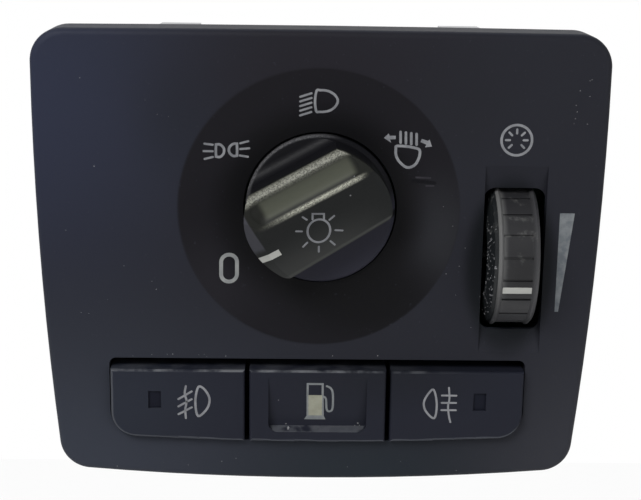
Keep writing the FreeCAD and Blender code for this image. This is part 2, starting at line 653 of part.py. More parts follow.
def detent_spring():
    """Leaf spring held in the core's wall, its bump in a notch of the cam."""
    mid_y = CAM_FRONT + (CAM_THICKNESS - DETENT_WIDTH) / 2
    wall = CORE_RADIUS - CORE_WALL
    bump = CAM_NOTCH_RADIUS - DETENT_GAP
    bump_z = KNOB_Z + CAM_RADIUS + CAM_NOTCH_RADIUS - CAM_NOTCH_DEPTH
    half = math.sqrt(wall ** 2 - (bump_z + DETENT_STRIP - KNOB_Z) ** 2) - SPRING_END_GAP
    strip = box(-half, half, mid_y, mid_y + DETENT_WIDTH, bump_z, bump_z + DETENT_STRIP)
    half_round = rod(bump, mid_y, mid_y + DETENT_WIDTH, 0, bump_z)
    half_round = half_round.cut(box(-bump, bump, mid_y - CUT_MARGIN, mid_y + DETENT_WIDTH + CUT_MARGIN,
                                    bump_z + DETENT_STRIP, bump_z + bump + CUT_MARGIN))
    return strip.fuse(half_round).removeSplitter()


def wheel_turned(shape, angle):
    """Turn a piece about the thumbwheel's axle; positive carries the front upwards."""
    turned = shape.copy()
    turned.rotate(vec(WHEEL_X, WHEEL_Y, WHEEL_Z), X_AXIS, -angle)
    return turned


def band_block(height, depth):
    """Block across the wheel's middle band, facing forward, that reaches in to a depth."""
    face = WHEEL_Y - WHEEL_RADIUS
    return box(WHEEL_X - MARK_WIDTH / 2, WHEEL_X + MARK_WIDTH / 2,
               face - CUT_MARGIN, face + WHEEL_BAND_DEPTH + depth,
               WHEEL_Z - height / 2, WHEEL_Z + height / 2)


def mark_block():
    return wheel_turned(band_block(MARK_HEIGHT, MARK_DEPTH), WHEEL_REST_ANGLE)


def wheel_tread():
    """Turned blank of the tread: high shoulders beside a hollow middle band."""
    half = WHEEL_WIDTH / 2
    band = MARK_WIDTH / 2
    radius = WHEEL_RADIUS
    low = radius - WHEEL_BAND_DEPTH
    crown = half - WHEEL_CHAMFER
    shoulder = band + WHEEL_SHOULDER
    profile = [(-half, 0), (-half, radius - WHEEL_CHAMFER), (-crown, radius), (-shoulder, radius),
               (-band, low), (band, low), (shoulder, radius), (crown, radius),
               (half, radius - WHEEL_CHAMFER), (half, 0)]
    corners = [vec(WHEEL_X + x, WHEEL_Y, WHEEL_Z + r) for x, r in profile]
    face = Part.Face(Part.makePolygon(corners + corners[:1]))
    return face.revolve(vec(WHEEL_X, WHEEL_Y, WHEEL_Z), X_AXIS, 360)


def dimmer_wheel():
    left = WHEEL_X - WHEEL_WIDTH / 2
    right = WHEEL_X + WHEEL_WIDTH / 2
    wheel = wheel_tread()
    inside = left + WHEEL_SIDE
    end = right + CUT_MARGIN
    hollow = cross_rod(WHEEL_RADIUS - WHEEL_RIM, inside, end, WHEEL_Y, WHEEL_Z)
    hollow = hollow.cut(cross_rod(WHEEL_HUB_RADIUS, inside, end, WHEEL_Y, WHEEL_Z))
    wheel = wheel.cut(hollow)
    wheel = wheel.cut(cross_rod(AXLE_RADIUS + FIT_GAP, left - CUT_MARGIN, end, WHEEL_Y, WHEEL_Z))
    pitch = 360 / WHEEL_RIB_COUNT
    cuts = []
    for index in range(WHEEL_RIB_COUNT):
        turn = WHEEL_REST_ANGLE + (index + 0.5) * pitch
        cuts.append(wheel_turned(band_block(WHEEL_RIB_SLIT, WHEEL_RIB_CUT), turn))
    return wheel.cut(Part.makeCompound(cuts)).cut(mark_block())


def dimmer_mark():
    band = WHEEL_RADIUS - WHEEL_BAND_DEPTH
    disc = cross_rod(band + MARK_PROUD, WHEEL_X - WHEEL_WIDTH, WHEEL_X + WHEEL_WIDTH, WHEEL_Y, WHEEL_Z)
    return mark_block().common(disc)


def bracket_sides():
    """The inner faces of the bracket's two arms, clear of the slot's edges."""
    reach = SLOT_WIDTH / 2 + BRACKET_GAP
    return WHEEL_X - reach, WHEEL_X + reach


def potentiometer_end():
    """Right end of the potentiometer, clear of the housing's wall."""
    return side_at(WHEEL_Z - POT_RADIUS, HOUSING_INSET + HOUSING_WALL) - POT_HOUSING_GAP


def dimmer_axle():
    left = bracket_sides()[0]
    return cross_rod(AXLE_RADIUS, left - BRACKET_WALL,
                     potentiometer_end() - POT_CAP - AXLE_END_GAP, WHEEL_Y, WHEEL_Z)


def dimmer_bracket():
    left, right = bracket_sides()
    low = WHEEL_Z - BRACKET_HALF_HEIGHT
    high = WHEEL_Z + BRACKET_HALF_HEIGHT
    bracket = box(left - BRACKET_WALL, right + BRACKET_WALL, BOARD_FRONT - BRACKET_BASE, BOARD_FRONT,
                  low, high)
    for x in (left - BRACKET_WALL, right):
        arm = box(x, x + BRACKET_WALL, WHEEL_Y, BOARD_FRONT, low, high)
        arm = arm.fuse(cross_rod(BRACKET_HALF_HEIGHT, x, x + BRACKET_WALL, WHEEL_Y, WHEEL_Z))
        bracket = bracket.fuse(arm)
    bore = cross_rod(AXLE_RADIUS + BEARING_GAP, left - BRACKET_WALL - CUT_MARGIN,
                     right + BRACKET_WALL + CUT_MARGIN, WHEEL_Y, WHEEL_Z)
    return bracket.cut(bore).removeSplitter()


def dimmer_potentiometer():
    """Turned by the axle's end, beside the bracket's right arm."""
    face = bracket_sides()[1] + BRACKET_WALL
    end = potentiometer_end()
    body = cross_rod(POT_RADIUS, face, end, WHEEL_Y, WHEEL_Z)
    foot = box(face, end, WHEEL_Y, BOARD_FRONT,
               WHEEL_Z - POT_FOOT_HALF, WHEEL_Z + POT_FOOT_HALF)
    bore = cross_rod(AXLE_RADIUS + BEARING_GAP, face - CUT_MARGIN, end - POT_CAP, WHEEL_Y, WHEEL_Z)
    return body.fuse(foot).cut(bore)


def button_guide():
    """Dark frame behind the window: walls around the buttons and a floor for their stems."""
    back = GUIDE_FLOOR_FRONT + GUIDE_FLOOR
    outer = window_outline(GUIDE_WALL, WALL_BACK, back)
    guide = outer.cut(window_outline(0, WALL_BACK - CUT_MARGIN, GUIDE_FLOOR_FRONT))
    end = back + CUT_MARGIN
    for x in (-SIDE_STEM_X, 0, SIDE_STEM_X):
        guide = guide.cut(rod(STEM_RADIUS + STEM_GAP, WALL_BACK, end, x, BUTTON_MID_Z))
    for side in (-1, 1):
        guide = guide.cut(indicator_block(side, WALL_BACK, end, -LENS_GUIDE_GAP))
    return guide


def button_shell(x0, x1, stem_x, round_left, round_right):
    """Hollow cap with rounded front edges and a stem that works the dome."""
    outer = window_block(x0, x1, BUTTON_TOP, BUTTON_GAP, BUTTON_FRONT, BUTTON_BACK)
    corner = WINDOW_LOW_CORNER - BUTTON_GAP
    ends = [side for side, wanted in ((x0, round_left), (x1, round_right)) if wanted]
    floor = BUTTON_FRONT + BUTTON_FRONT_WALL
    inner = window_block(x0 + BUTTON_WALL, x1 - BUTTON_WALL, BUTTON_TOP - BUTTON_WALL,
                         BUTTON_GAP + BUTTON_WALL, floor, BUTTON_BACK + CUT_MARGIN)
    if ends:
        outer = round_upright_edges(outer, corner,
                                    lambda x, z: z < BUTTON_MID_Z and abs(x - ends[0]) < TOUCH)
        inner = round_upright_edges(inner, corner - BUTTON_WALL,
                                    lambda x, z: z < BUTTON_MID_Z
                                    and abs(x - ends[0]) < BUTTON_WALL + TOUCH)
    outer = round_face_rim(outer, BUTTON_EDGE_ROUND, BUTTON_FRONT)
    stem = rod(STEM_RADIUS, floor - STEM_ROOT, DOME_TOP, stem_x, BUTTON_MID_Z)
    return outer.cut(inner).fuse(stem)


def indicator_block(side, y0, y1, gap):
    x = side * INDICATOR_X
    return box(x - INDICATOR_WIDTH / 2 + gap, x + INDICATOR_WIDTH / 2 - gap, y0, y1,
               INDICATOR_Z - INDICATOR_HEIGHT / 2 + gap, INDICATOR_Z + INDICATOR_HEIGHT / 2 - gap)


def side_button(side):
    if side < 0:
        cap = button_shell(-SIDE_OUTER, -SIDE_INNER, -SIDE_STEM_X, True, False)
    else:
        cap = button_shell(SIDE_INNER, SIDE_OUTER, SIDE_STEM_X, False, True)
    hole = indicator_block(side, BUTTON_FRONT - CUT_MARGIN,
                           BUTTON_FRONT + BUTTON_FRONT_WALL + CUT_MARGIN, 0)
    return cap.cut(hole).removeSplitter()


def indicator_lens(side):
    """Light pipe that fills the window and reaches back inside the button."""
    back = BUTTON_FRONT + BUTTON_FRONT_WALL
    pipe = indicator_block(side, BUTTON_FRONT + INDICATOR_RECESS, back, 0)
    shoulder = back + LENS_FLANGE_THICKNESS
    flange = indicator_block(side, back, shoulder, -LENS_FLANGE)
    tail = indicator_block(side, shoulder, BUTTON_BACK + LENS_TAIL, LENS_TAIL_GAP)
    return pipe.fuse(flange).fuse(tail).removeSplitter()


def fuel_flap_button():
    """Middle button, with a finger scoop that deepens towards its lower ledge."""
    cap = button_shell(-CENTRE_HALF_WIDTH, CENTRE_HALF_WIDTH, 0, False, False)
    deep = BUTTON_FRONT + SCOOP_DEPTH
    before = BUTTON_FRONT - CUT_MARGIN
    profile = [(before, SCOOP_TOP), (BUTTON_FRONT, SCOOP_TOP),
               (deep, SCOOP_BOTTOM + SCOOP_LEDGE + SCOOP_FLOOR), (deep, SCOOP_BOTTOM + SCOOP_LEDGE),
               (BUTTON_FRONT, SCOOP_BOTTOM), (before, SCOOP_BOTTOM)]
    scoop = side_prism(profile, -SCOOP_HALF_WIDTH, SCOOP_HALF_WIDTH)
    frame = box(-SCOOP_HALF_WIDTH, SCOOP_HALF_WIDTH, before, deep + CUT_MARGIN, SCOOP_BOTTOM, SCOOP_TOP)
    frame = round_upright_edges(frame, SCOOP_CORNER, lambda x, z: z < BUTTON_MID_Z)
    return cap.cut(scoop.common(frame)).removeSplitter()


def rubber_dome(x):
    """Silicone dome under a button, hollow, with a square foot on the board."""
    z = BUTTON_MID_Z
    sheet = box(x - DOME_FOOT, x + DOME_FOOT, BOARD_FRONT - DOME_SHEET, BOARD_FRONT,
                z - DOME_FOOT, z + DOME_FOOT)
    cone = Part.makeCone(DOME_BASE_RADIUS, DOME_TOP_RADIUS, DOME_HEIGHT - DOME_SHEET,
                         vec(x, BOARD_FRONT - DOME_SHEET, z), -Y_AXIS)
    hollow = Part.makeCone(DOME_BASE_RADIUS - DOME_SKIN, DOME_TOP_RADIUS - DOME_SKIN,
                           DOME_HEIGHT - 2 * DOME_SKIN, vec(x, BOARD_FRONT, z), -Y_AXIS)
    return sheet.fuse(cone).cut(hollow)


def circuit_board():
    board = panel_block(HOUSING_INSET + HOUSING_WALL + BOARD_GAP, BOARD_FRONT, BOARD_BACK,
                        BOARD_CORNER)
    front = BOARD_FRONT - CUT_MARGIN
    back = BOARD_BACK + CUT_MARGIN
    reach = TOWER_RADIUS + TOWER_GAP
    for x, z in tower_places():
        edge = math.copysign(PANEL_HALF_WIDTH, x)
        side = box(min(x, edge), max(x, edge), front, back, z - reach, z + reach)
        board = board.cut(rod(reach, front, back, x, z).fuse(side))
    for x, z in post_places():
        board = board.cut(rod(SCREW_RADIUS + SCREW_CLEARANCE, front, back, x, z))
    return board.removeSplitter()


def screw(x, z, seat, length, towards):
    """Screw whose head rests on the plane at seat; towards is -1 or 1 along Y."""
    point = seat + towards * length
    top = seat - towards * SCREW_HEAD_HEIGHT
    shank = rod(SCREW_RADIUS, min(seat, point), max(seat, point), x, z)
    head = rod(SCREW_HEAD_RADIUS, min(seat, top), max(seat, top), x, z)
    return chamfer_face_rim(head, SCREW_HEAD_CHAMFER, top).fuse(shank)


def housing_screws():
    seat = TOWER_FRONT + TOWER_FLOOR
    return Part.makeCompound([screw(x, z, seat, SCREW_LENGTH, -1) for x, z in tower_places()])


def board_screws():
    return Part.makeCompound([screw(x, z, BOARD_FRONT, BOARD_SCREW_LENGTH, 1)
                              for x, z in post_places()])


def tower_bores(shape):
    """Cut the screw wells and clearance holes of the towers."""
    for x, z in tower_places():
        shape = shape.cut(rod(TOWER_BORE, TOWER_FRONT + TOWER_FLOOR, HOUSING_BACK + CUT_MARGIN, x, z))
        shape = shape.cut(rod(SCREW_RADIUS + SCREW_CLEARANCE, TOWER_FRONT - CUT_MARGIN,
                              HOUSING_BACK, x, z))
    return shape


def rear_housing():
    """Walls behind the bezel, with the screw towers and the pads of the spring clips."""
    walls = panel_block(HOUSING_INSET, WALL_BACK, COVER_FRONT, HOUSING_CORNER)
    inside = panel_block(HOUSING_INSET + HOUSING_WALL, WALL_BACK - CUT_MARGIN,
                         COVER_FRONT + CUT_MARGIN, HOUSING_CORNER - HOUSING_WALL)
    walls = walls.cut(inside)
    for x, z in tower_places():
        walls = walls.fuse(rod(TOWER_RADIUS, TOWER_FRONT, COVER_FRONT, x, z))
    for x in (-CLIP_X, CLIP_X):
        for up in (1, -1):
            walls = walls.fuse(clip_rails(x, up))
    return tower_bores(walls).removeSplitter()


def rear_cover():
    """Rear wall with the board's posts, the vents and the connector's window."""
    cover = panel_block(HOUSING_INSET, COVER_FRONT, HOUSING_BACK, HOUSING_CORNER)
    cover = chamfer_face_rim(cover, HOUSING_CHAMFER, HOUSING_BACK)
    for x, z in post_places():
        cover = cover.fuse(rod(POST_RADIUS, BOARD_BACK, COVER_FRONT, x, z))
        cover = cover.cut(rod(SCREW_RADIUS + PILOT_GAP, BOARD_BACK, BOARD_BACK + BOARD_SCREW_LENGTH,
                              x, z))
    front = COVER_FRONT - CUT_MARGIN
    back = HOUSING_BACK + CUT_MARGIN
    cover = cover.cut(connector_block(CONNECTOR_GAP, front, back))
    for index in range(VENT_COUNT):
        x = (index - (VENT_COUNT - 1) / 2) * VENT_PITCH
        vent = box(x - VENT_WIDTH / 2, x + VENT_WIDTH / 2, front, back,
                   KNOB_Z - VENT_LENGTH / 2, KNOB_Z + VENT_LENGTH / 2)
        cover = cover.cut(vent)
    return tower_bores(cover).removeSplitter()


def housing_skin(x, up):
    """Height of the housing's outer top or bottom face at x."""
    if up > 0:
        edge = side_at(PANEL_TOP - HOUSING_INSET - TOP_CROWN, HOUSING_INSET)
        return PANEL_TOP - HOUSING_INSET - TOP_CROWN * (x / edge) ** 2
    edge = side_at(PANEL_BOTTOM + HOUSING_INSET + BOTTOM_CROWN, HOUSING_INSET)
    return PANEL_BOTTOM + HOUSING_INSET + BOTTOM_CROWN * (x / edge) ** 2


def clip_seat(x, up):
    """Flat pad face that a clip lies on: just outside the bowed wall."""
    inner = housing_skin(abs(x) - CLIP_WIDTH / 2 - RAIL_WIDTH, up)
    outer = housing_skin(abs(x) + CLIP_WIDTH / 2 + RAIL_WIDTH, up)
    if up > 0:
        return max(inner, outer) + PAD_RISE
    return min(inner, outer) - PAD_RISE


def clip_rails(x, up):
    """Raised pad with two rails and an end stop that hold a spring clip."""
    seat = clip_seat(x, up)
    top = seat + up * RAIL_HEIGHT
    deep = seat - up * PAD_ROOT
    half = CLIP_WIDTH / 2 + RAIL_GAP
    front = CLIP_FRONT - RAIL_END
    back = CLIP_FRONT + CLIP_LENGTH + RAIL_END
    pad = box(x - half - RAIL_WIDTH, x + half + RAIL_WIDTH, front, back,
              min(deep, seat), max(deep, seat))
    for x0 in (x - half - RAIL_WIDTH, x + half):
        pad = pad.fuse(box(x0, x0 + RAIL_WIDTH, front, back, min(seat, top), max(seat, top)))
    stop = box(x - half, x + half, back - RAIL_END, back, min(seat, top), max(seat, top))
    return pad.fuse(stop)


def spring_clip(x, up):
    """Bent strip: a flat foot on its pad, and a bowed arm that grips the dashboard."""
    seat = clip_seat(x, up)
    back = CLIP_FRONT + CLIP_LENGTH
    strip = CLIP_STRIP
    crest = CLIP_FRONT + CLIP_LENGTH * CLIP_CREST_SHARE
    bend = CLIP_BEND
    outline = [(CLIP_FRONT, 0), (back, 0), (back, bend), (back - bend, bend + strip),
               (crest, CLIP_BULGE), (CLIP_FRONT, CLIP_TIP_RISE),
               (CLIP_FRONT + strip, CLIP_TIP_RISE - strip), (crest, CLIP_BULGE - strip),
               (back - bend - strip / 2, bend + strip / 2), (back - bend, strip), (CLIP_FRONT, strip)]
    corners = [(y, seat + up * rise) for y, rise in outline]
    return side_prism(corners, x - CLIP_WIDTH / 2, x + CLIP_WIDTH / 2)


def connector_block(grow, y0, y1):
    block = box(CONNECTOR_X - CONNECTOR_WIDTH / 2 - grow, CONNECTOR_X + CONNECTOR_WIDTH / 2 + grow,
                y0, y1, CONNECTOR_Z - CONNECTOR_HEIGHT / 2 - grow,
                CONNECTOR_Z + CONNECTOR_HEIGHT / 2 + grow)
    return round_upright_edges(block, CONNECTOR_CORNER + grow, lambda x, z: True)


def pin_places():
    places = []
    for row in range(PIN_ROWS):
        for column in range(PIN_COUNT):
            places.append((CONNECTOR_X + (column - (PIN_COUNT - 1) / 2) * PIN_PITCH,
                           CONNECTOR_Z + (row - (PIN_ROWS - 1) / 2) * PIN_ROW_PITCH))
    return places


def pin_block(x, z, y0, y1):
    half = PIN_SIDE / 2
    return box(x - half, x + half, y0, y1, z - half, z + half)


def connector_shroud():
    body = connector_block(0, BOARD_BACK, CONNECTOR_BACK)
    end = CONNECTOR_BACK + CUT_MARGIN
    body = body.cut(connector_block(-CONNECTOR_WALL, CONNECTOR_BACK - CONNECTOR_DEPTH, end))
    top = CONNECTOR_Z + CONNECTOR_HEIGHT / 2
    body = body.cut(box(CONNECTOR_X - KEY_HALF_WIDTH, CONNECTOR_X + KEY_HALF_WIDTH,
                        CONNECTOR_BACK - KEY_LENGTH, end, top - CONNECTOR_WALL - KEY_SINK,
                        top + CUT_MARGIN))
    holes = [pin_block(x, z, BOARD_BACK - CUT_MARGIN, CONNECTOR_BACK) for x, z in pin_places()]
    return body.cut(Part.makeCompound(holes)).removeSplitter()


def connector_pins():
    tip = CONNECTOR_BACK - CONNECTOR_DEPTH + PIN_REACH
    return Part.makeCompound([pin_block(x, z, BOARD_BACK, tip) for x, z in pin_places()])


def symbol_light_guide():
    """Clear ring behind the dish that spreads light to the printed symbols."""
    ring = tube(GUIDE_OUTER, GUIDE_INNER, DISH_BACK, DISH_BACK + GUIDE_THICKNESS, 0, KNOB_Z)
    for x in (-GUIDE_LEG_X, GUIDE_LEG_X):
        ring = ring.fuse(rod(GUIDE_LEG_RADIUS, DISH_BACK, LAMP_FRONT - LAMP_GAP, x, KNOB_Z))
    return ring


def board_lamps():
    """Small light emitters on the board's front face, under the legs and lenses."""
    lamps = []
    for side in (-1, 1):
        for x, z in ((side * GUIDE_LEG_X, KNOB_Z), (side * INDICATOR_X, INDICATOR_Z)):
            lamps.append(box(x - LAMP_HALF_WIDTH, x + LAMP_HALF_WIDTH, LAMP_FRONT, BOARD_FRONT,
                             z - LAMP_HALF_HEIGHT, z + LAMP_HALF_HEIGHT))
    return Part.makeCompound(lamps)


def control_chip():
    """Flat chip on the board's rear face with legs along two sides."""
    under = BOARD_BACK + CHIP_STAND
    chip = box(CHIP_X - CHIP_HALF_WIDTH, CHIP_X + CHIP_HALF_WIDTH, under, under + CHIP_THICKNESS,
               CHIP_Z - CHIP_HALF_HEIGHT, CHIP_Z + CHIP_HALF_HEIGHT)
    reach = CHIP_HALF_HEIGHT + CHIP_LEG_REACH
    for index in range(CHIP_LEGS):
        x = CHIP_X + (index - (CHIP_LEGS - 1) / 2) * CHIP_LEG_PITCH
        leg = box(x - CHIP_LEG_WIDTH / 2, x + CHIP_LEG_WIDTH / 2, BOARD_BACK,
                  BOARD_BACK + CHIP_LEG_THICKNESS, CHIP_Z - reach, CHIP_Z + reach)
        chip = chip.fuse(leg)
    return chip.removeSplitter()


def capacitor(x, radius, height):
    can = rod(radius, BOARD_BACK, BOARD_BACK + height, x, CAPACITOR_Z)
    return chamfer_face_rim(can, CAPACITOR_CHAMFER, BOARD_BACK + height)


def board_capacitors():
    small_x = CAPACITOR_PAIR_X + CAPACITOR_RADIUS + CAPACITOR_PAIR_GAP + SMALL_CAPACITOR_RADIUS
    return Part.makeCompound([
        capacitor(CAPACITOR_PAIR_X, CAPACITOR_RADIUS, CAPACITOR_HEIGHT),
        capacitor(small_x, SMALL_CAPACITOR_RADIUS, SMALL_CAPACITOR_HEIGHT),
        capacitor(CAPACITOR_X, CAPACITOR_RADIUS, CAPACITOR_HEIGHT),
    ])


PIECES = {
    "front_bezel": front_bezel,
    "knob": knob,
    "knob_pointer": knob_pointer,
    "rotary_shaft": rotary_shaft,
    "contact_rotor": contact_rotor,
    "contact_wipers": contact_wipers,
    "switch_core": switch_core,
    "detent_spring": detent_spring,
    "dimmer_wheel": dimmer_wheel,
    "dimmer_mark": dimmer_mark,
    "dimmer_axle": dimmer_axle,
    "dimmer_bracket": dimmer_bracket,
    "dimmer_potentiometer": dimmer_potentiometer,
    "button_guide": button_guide,
    "front_fog_button": lambda: side_button(-1),
    "fuel_flap_button": fuel_flap_button,
    "rear_fog_button": lambda: side_button(1),
    "front_fog_lens": lambda: indicator_lens(-1),
    "rear_fog_lens": lambda: indicator_lens(1),
    "front_fog_dome": lambda: rubber_dome(-SIDE_STEM_X),
    "fuel_flap_dome": lambda: rubber_dome(0),
    "rear_fog_dome": lambda: rubber_dome(SIDE_STEM_X),
    "symbol_light_guide": symbol_light_guide,
    "circuit_board": circuit_board,
    "board_lamps": board_lamps,
    "control_chip": control_chip,
    "board_capacitors": board_capacitors,
    "connector_shroud": connector_shroud,
    "connector_pins": connector_pins,
    "board_screws": board_screws,
    "rear_housing": rear_housing,
    "rear_cover": rear_cover,
    "housing_screws": housing_screws,
    "clip_top_left": lambda: spring_clip(-CLIP_X, 1),
    "clip_top_right": lambda: spring_clip(CLIP_X, 1),
    "clip_bottom_left": lambda: spring_clip(-CLIP_X, -1),
    "clip_bottom_right": lambda: spring_clip(CLIP_X, -1),
}

os.makedirs("parts", exist_ok=True)
for name, make in PIECES.items():
    shape = make()
    shape.exportStep("parts/" + name + ".step")
    print(name, "solids", len(shape.Solids), "valid", shape.isValid(), "mm3", round(shape.Volume, 1))
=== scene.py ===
import bpy
import json
import math
import random
from mathutils import Matrix, Vector
from mathutils.bvhtree import BVHTree


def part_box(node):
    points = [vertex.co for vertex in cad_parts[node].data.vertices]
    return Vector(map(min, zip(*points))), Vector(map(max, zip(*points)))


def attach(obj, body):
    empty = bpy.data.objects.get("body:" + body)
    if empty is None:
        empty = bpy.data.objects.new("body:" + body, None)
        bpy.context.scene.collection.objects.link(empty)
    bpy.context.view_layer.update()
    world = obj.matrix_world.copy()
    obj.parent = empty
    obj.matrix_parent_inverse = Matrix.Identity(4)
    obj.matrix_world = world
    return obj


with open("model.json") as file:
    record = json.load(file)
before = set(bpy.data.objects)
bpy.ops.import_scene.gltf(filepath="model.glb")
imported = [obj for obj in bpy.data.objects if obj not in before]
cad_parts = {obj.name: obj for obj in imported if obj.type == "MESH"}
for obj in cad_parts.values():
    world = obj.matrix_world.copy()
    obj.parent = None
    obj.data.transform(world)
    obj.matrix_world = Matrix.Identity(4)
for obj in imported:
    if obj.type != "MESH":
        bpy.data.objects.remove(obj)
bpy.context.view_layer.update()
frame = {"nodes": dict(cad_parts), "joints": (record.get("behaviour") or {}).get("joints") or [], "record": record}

# Sizes in millimetres, turned into metres by MM where a mesh is made
MM = 0.001
IMAGE_WIDTH = 641
PHOTO_SCALE = 4.648         # pixels to a millimetre at the panel's middle
CAMERA_DISTANCE = 300.0
CAMERA_YAW = -1.2           # degrees, to the left of the panel's normal
CAMERA_RISE = 14.0          # degrees above the panel's normal
CAMERA_ROLL = 0.85
AIM_X = 0.2
AIM_Z = 3.08
SENSOR = 36.0

# Places taken from the frame
joints = {joint["name"]: joint for joint in frame["joints"]}
knob_low, knob_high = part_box("knob")
wheel_low, wheel_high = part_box("dimmer_wheel")
PANEL_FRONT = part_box("front_bezel")[0].y / MM
KNOB_Z = joints["knob_turn"]["pos_m"][2] / MM
KNOB_RADIUS = (knob_high.x - knob_low.x) / MM / 2
CREST_HEIGHT = PANEL_FRONT - knob_low.y / MM
WHEEL_X, WHEEL_Y, WHEEL_Z = (place / MM for place in joints["dimmer_turn"]["pos_m"])
WHEEL_SIDE_X = wheel_low.x / MM
WHEEL_END_X = wheel_high.x / MM
BUTTONS_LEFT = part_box("front_fog_button")[0].x / MM

# Knob and dish, as painted
DISH_X = -0.3
DISH_RADIUS = 30.0
KNOB_ANGLE = 209.0          # the pointer's direction, from +X towards +Z
HIGH_RIDGE = -10.9          # across the grip, from the knob's axis
GROOVE_MIDDLE = -7.6
LOW_RIDGE = -4.3
SLOPE_FOOT = 9.4
FOOT_MIDDLE = 8.48          # the slanting foot's distance from the axis at the grip's middle
FOOT_TAPER = 0.058

# Print
PRINT_THICKNESS = 0.03
LONGEST_STEP = 0.9          # between the points of a stroke, so that it follows a curved face
STROKE = 0.5
FINE_STROKE = 0.46
THIN_STROKE = 0.42
ROUND_STROKE = 0.54         # of the round shapes beside the knob and the thumbwheel
DIPPED_STROKE = 0.52
STEERED_STROKE = 0.58
STEERED_BAR_STROKE = 0.55
ZERO_STROKE = 0.82
ZERO_X = -19.5
ZERO_TOP = 0.0              # middles of the digit's two half rounds
ZERO_FOOT = -2.7
ZERO_RADIUS = 1.7
ZERO_STRETCH = 0.95
DIAL_CENTRE = Vector((41.38, 27.43))
DIAL_RADIUS = 3.24
DIAL_TICKS = (1.45, 2.3)    # start and end of each tick, from the centre
WEDGE_LEFT = 51.45
WEDGE_LOW = (52.23, -10.28)
WEDGE_HIGH = (54.64, 11.7)
WEDGE_ROWS = 22
BULB_CENTRE = (-0.36, 9.17)
BULB_RADII = (2.38, 2.72)

# Dust
SPECK_SEED = 4
PANEL_CRUMB = 0.13
KNOB_CRUMB = 0.2
SCOOP_CRUMB = 0.28
FLANK_CRUMBS = 95
FLANK_CRUMB_SIZES = (0.1, 0.3)
FLANK_CRUMB_REACH = (9.8, 15.0)
FLANK_FRONT = 186           # degrees about the axle, where the crumbs lie thickest
FLANK_SPREAD = 30

# Domed flank of the thumbwheel: distance beyond its side face, at a radius
FLANK = [(0.0, 15.2), (0.5, 14.8), (1.0, 13.4), (1.35, 11.6), (1.5, 9.6), (1.1, 9.0), (0.0, 8.8)]
FLANK_SUNK = 0.05
FLANK_SIDES = 96

# Stage and lights
FLOOR_Z = -300.0
BACKDROP_Y = 600.0
STAGE = 3000.0
PAPER_TONE = 0.9
KEY_PLACE = (-350, -500, 520)
KEY_TARGET = (0, 0, 10)
KEY_SIZE = (420, 320)
KEY_POWER = 4.6
FILL_PLACE = (450, -450, 100)
FILL_TARGET = (0, 0, 0)
FILL_SIZE = (400, 400)
FILL_POWER = 0.9
SKY = (0.8, 0.82, 0.86, 1.0)
SKY_STRENGTH = 0.26

# Soft spots of painted light and shade on the panel and the buttons: screen colour, centre in x and z, reach in x
# and z, strength
PANEL_LIGHT_AND_SHADE = [
    ((44, 48, 65), -66, 38, 62, 70, 1.0),
    ((56, 60, 70), -66, -52, 95, 62, 1.0),
    ((35, 42, 48), 12, -56, 48, 34, 0.9),
    ((56, 57, 63), 66, -58, 46, 62, 1.0),
    ((30, 28, 34), 0, 40, 50, 26, 0.8),
    ((33, 34, 40), 30, 34, 18, 16, 0.7),
    ((31, 34, 42), -30, 30, 14, 18, 0.5),
]
BUTTON_LIGHT_AND_SHADE = [
    ((40, 44, 54), -52, -32, 42, 26, 1.0),
    ((26, 28, 35), 16, -24, 30, 12, 0.8),
]


def srgb(red, green, blue):
    """A colour given as 0 to 255 screen values, as linear RGBA."""
    linear = []
    for value in (red, green, blue):
        share = value / 255
        linear.append(share / 12.92 if share <= 0.04045 else ((share + 0.055) / 1.055) ** 2.4)
    return (*linear, 1.0)


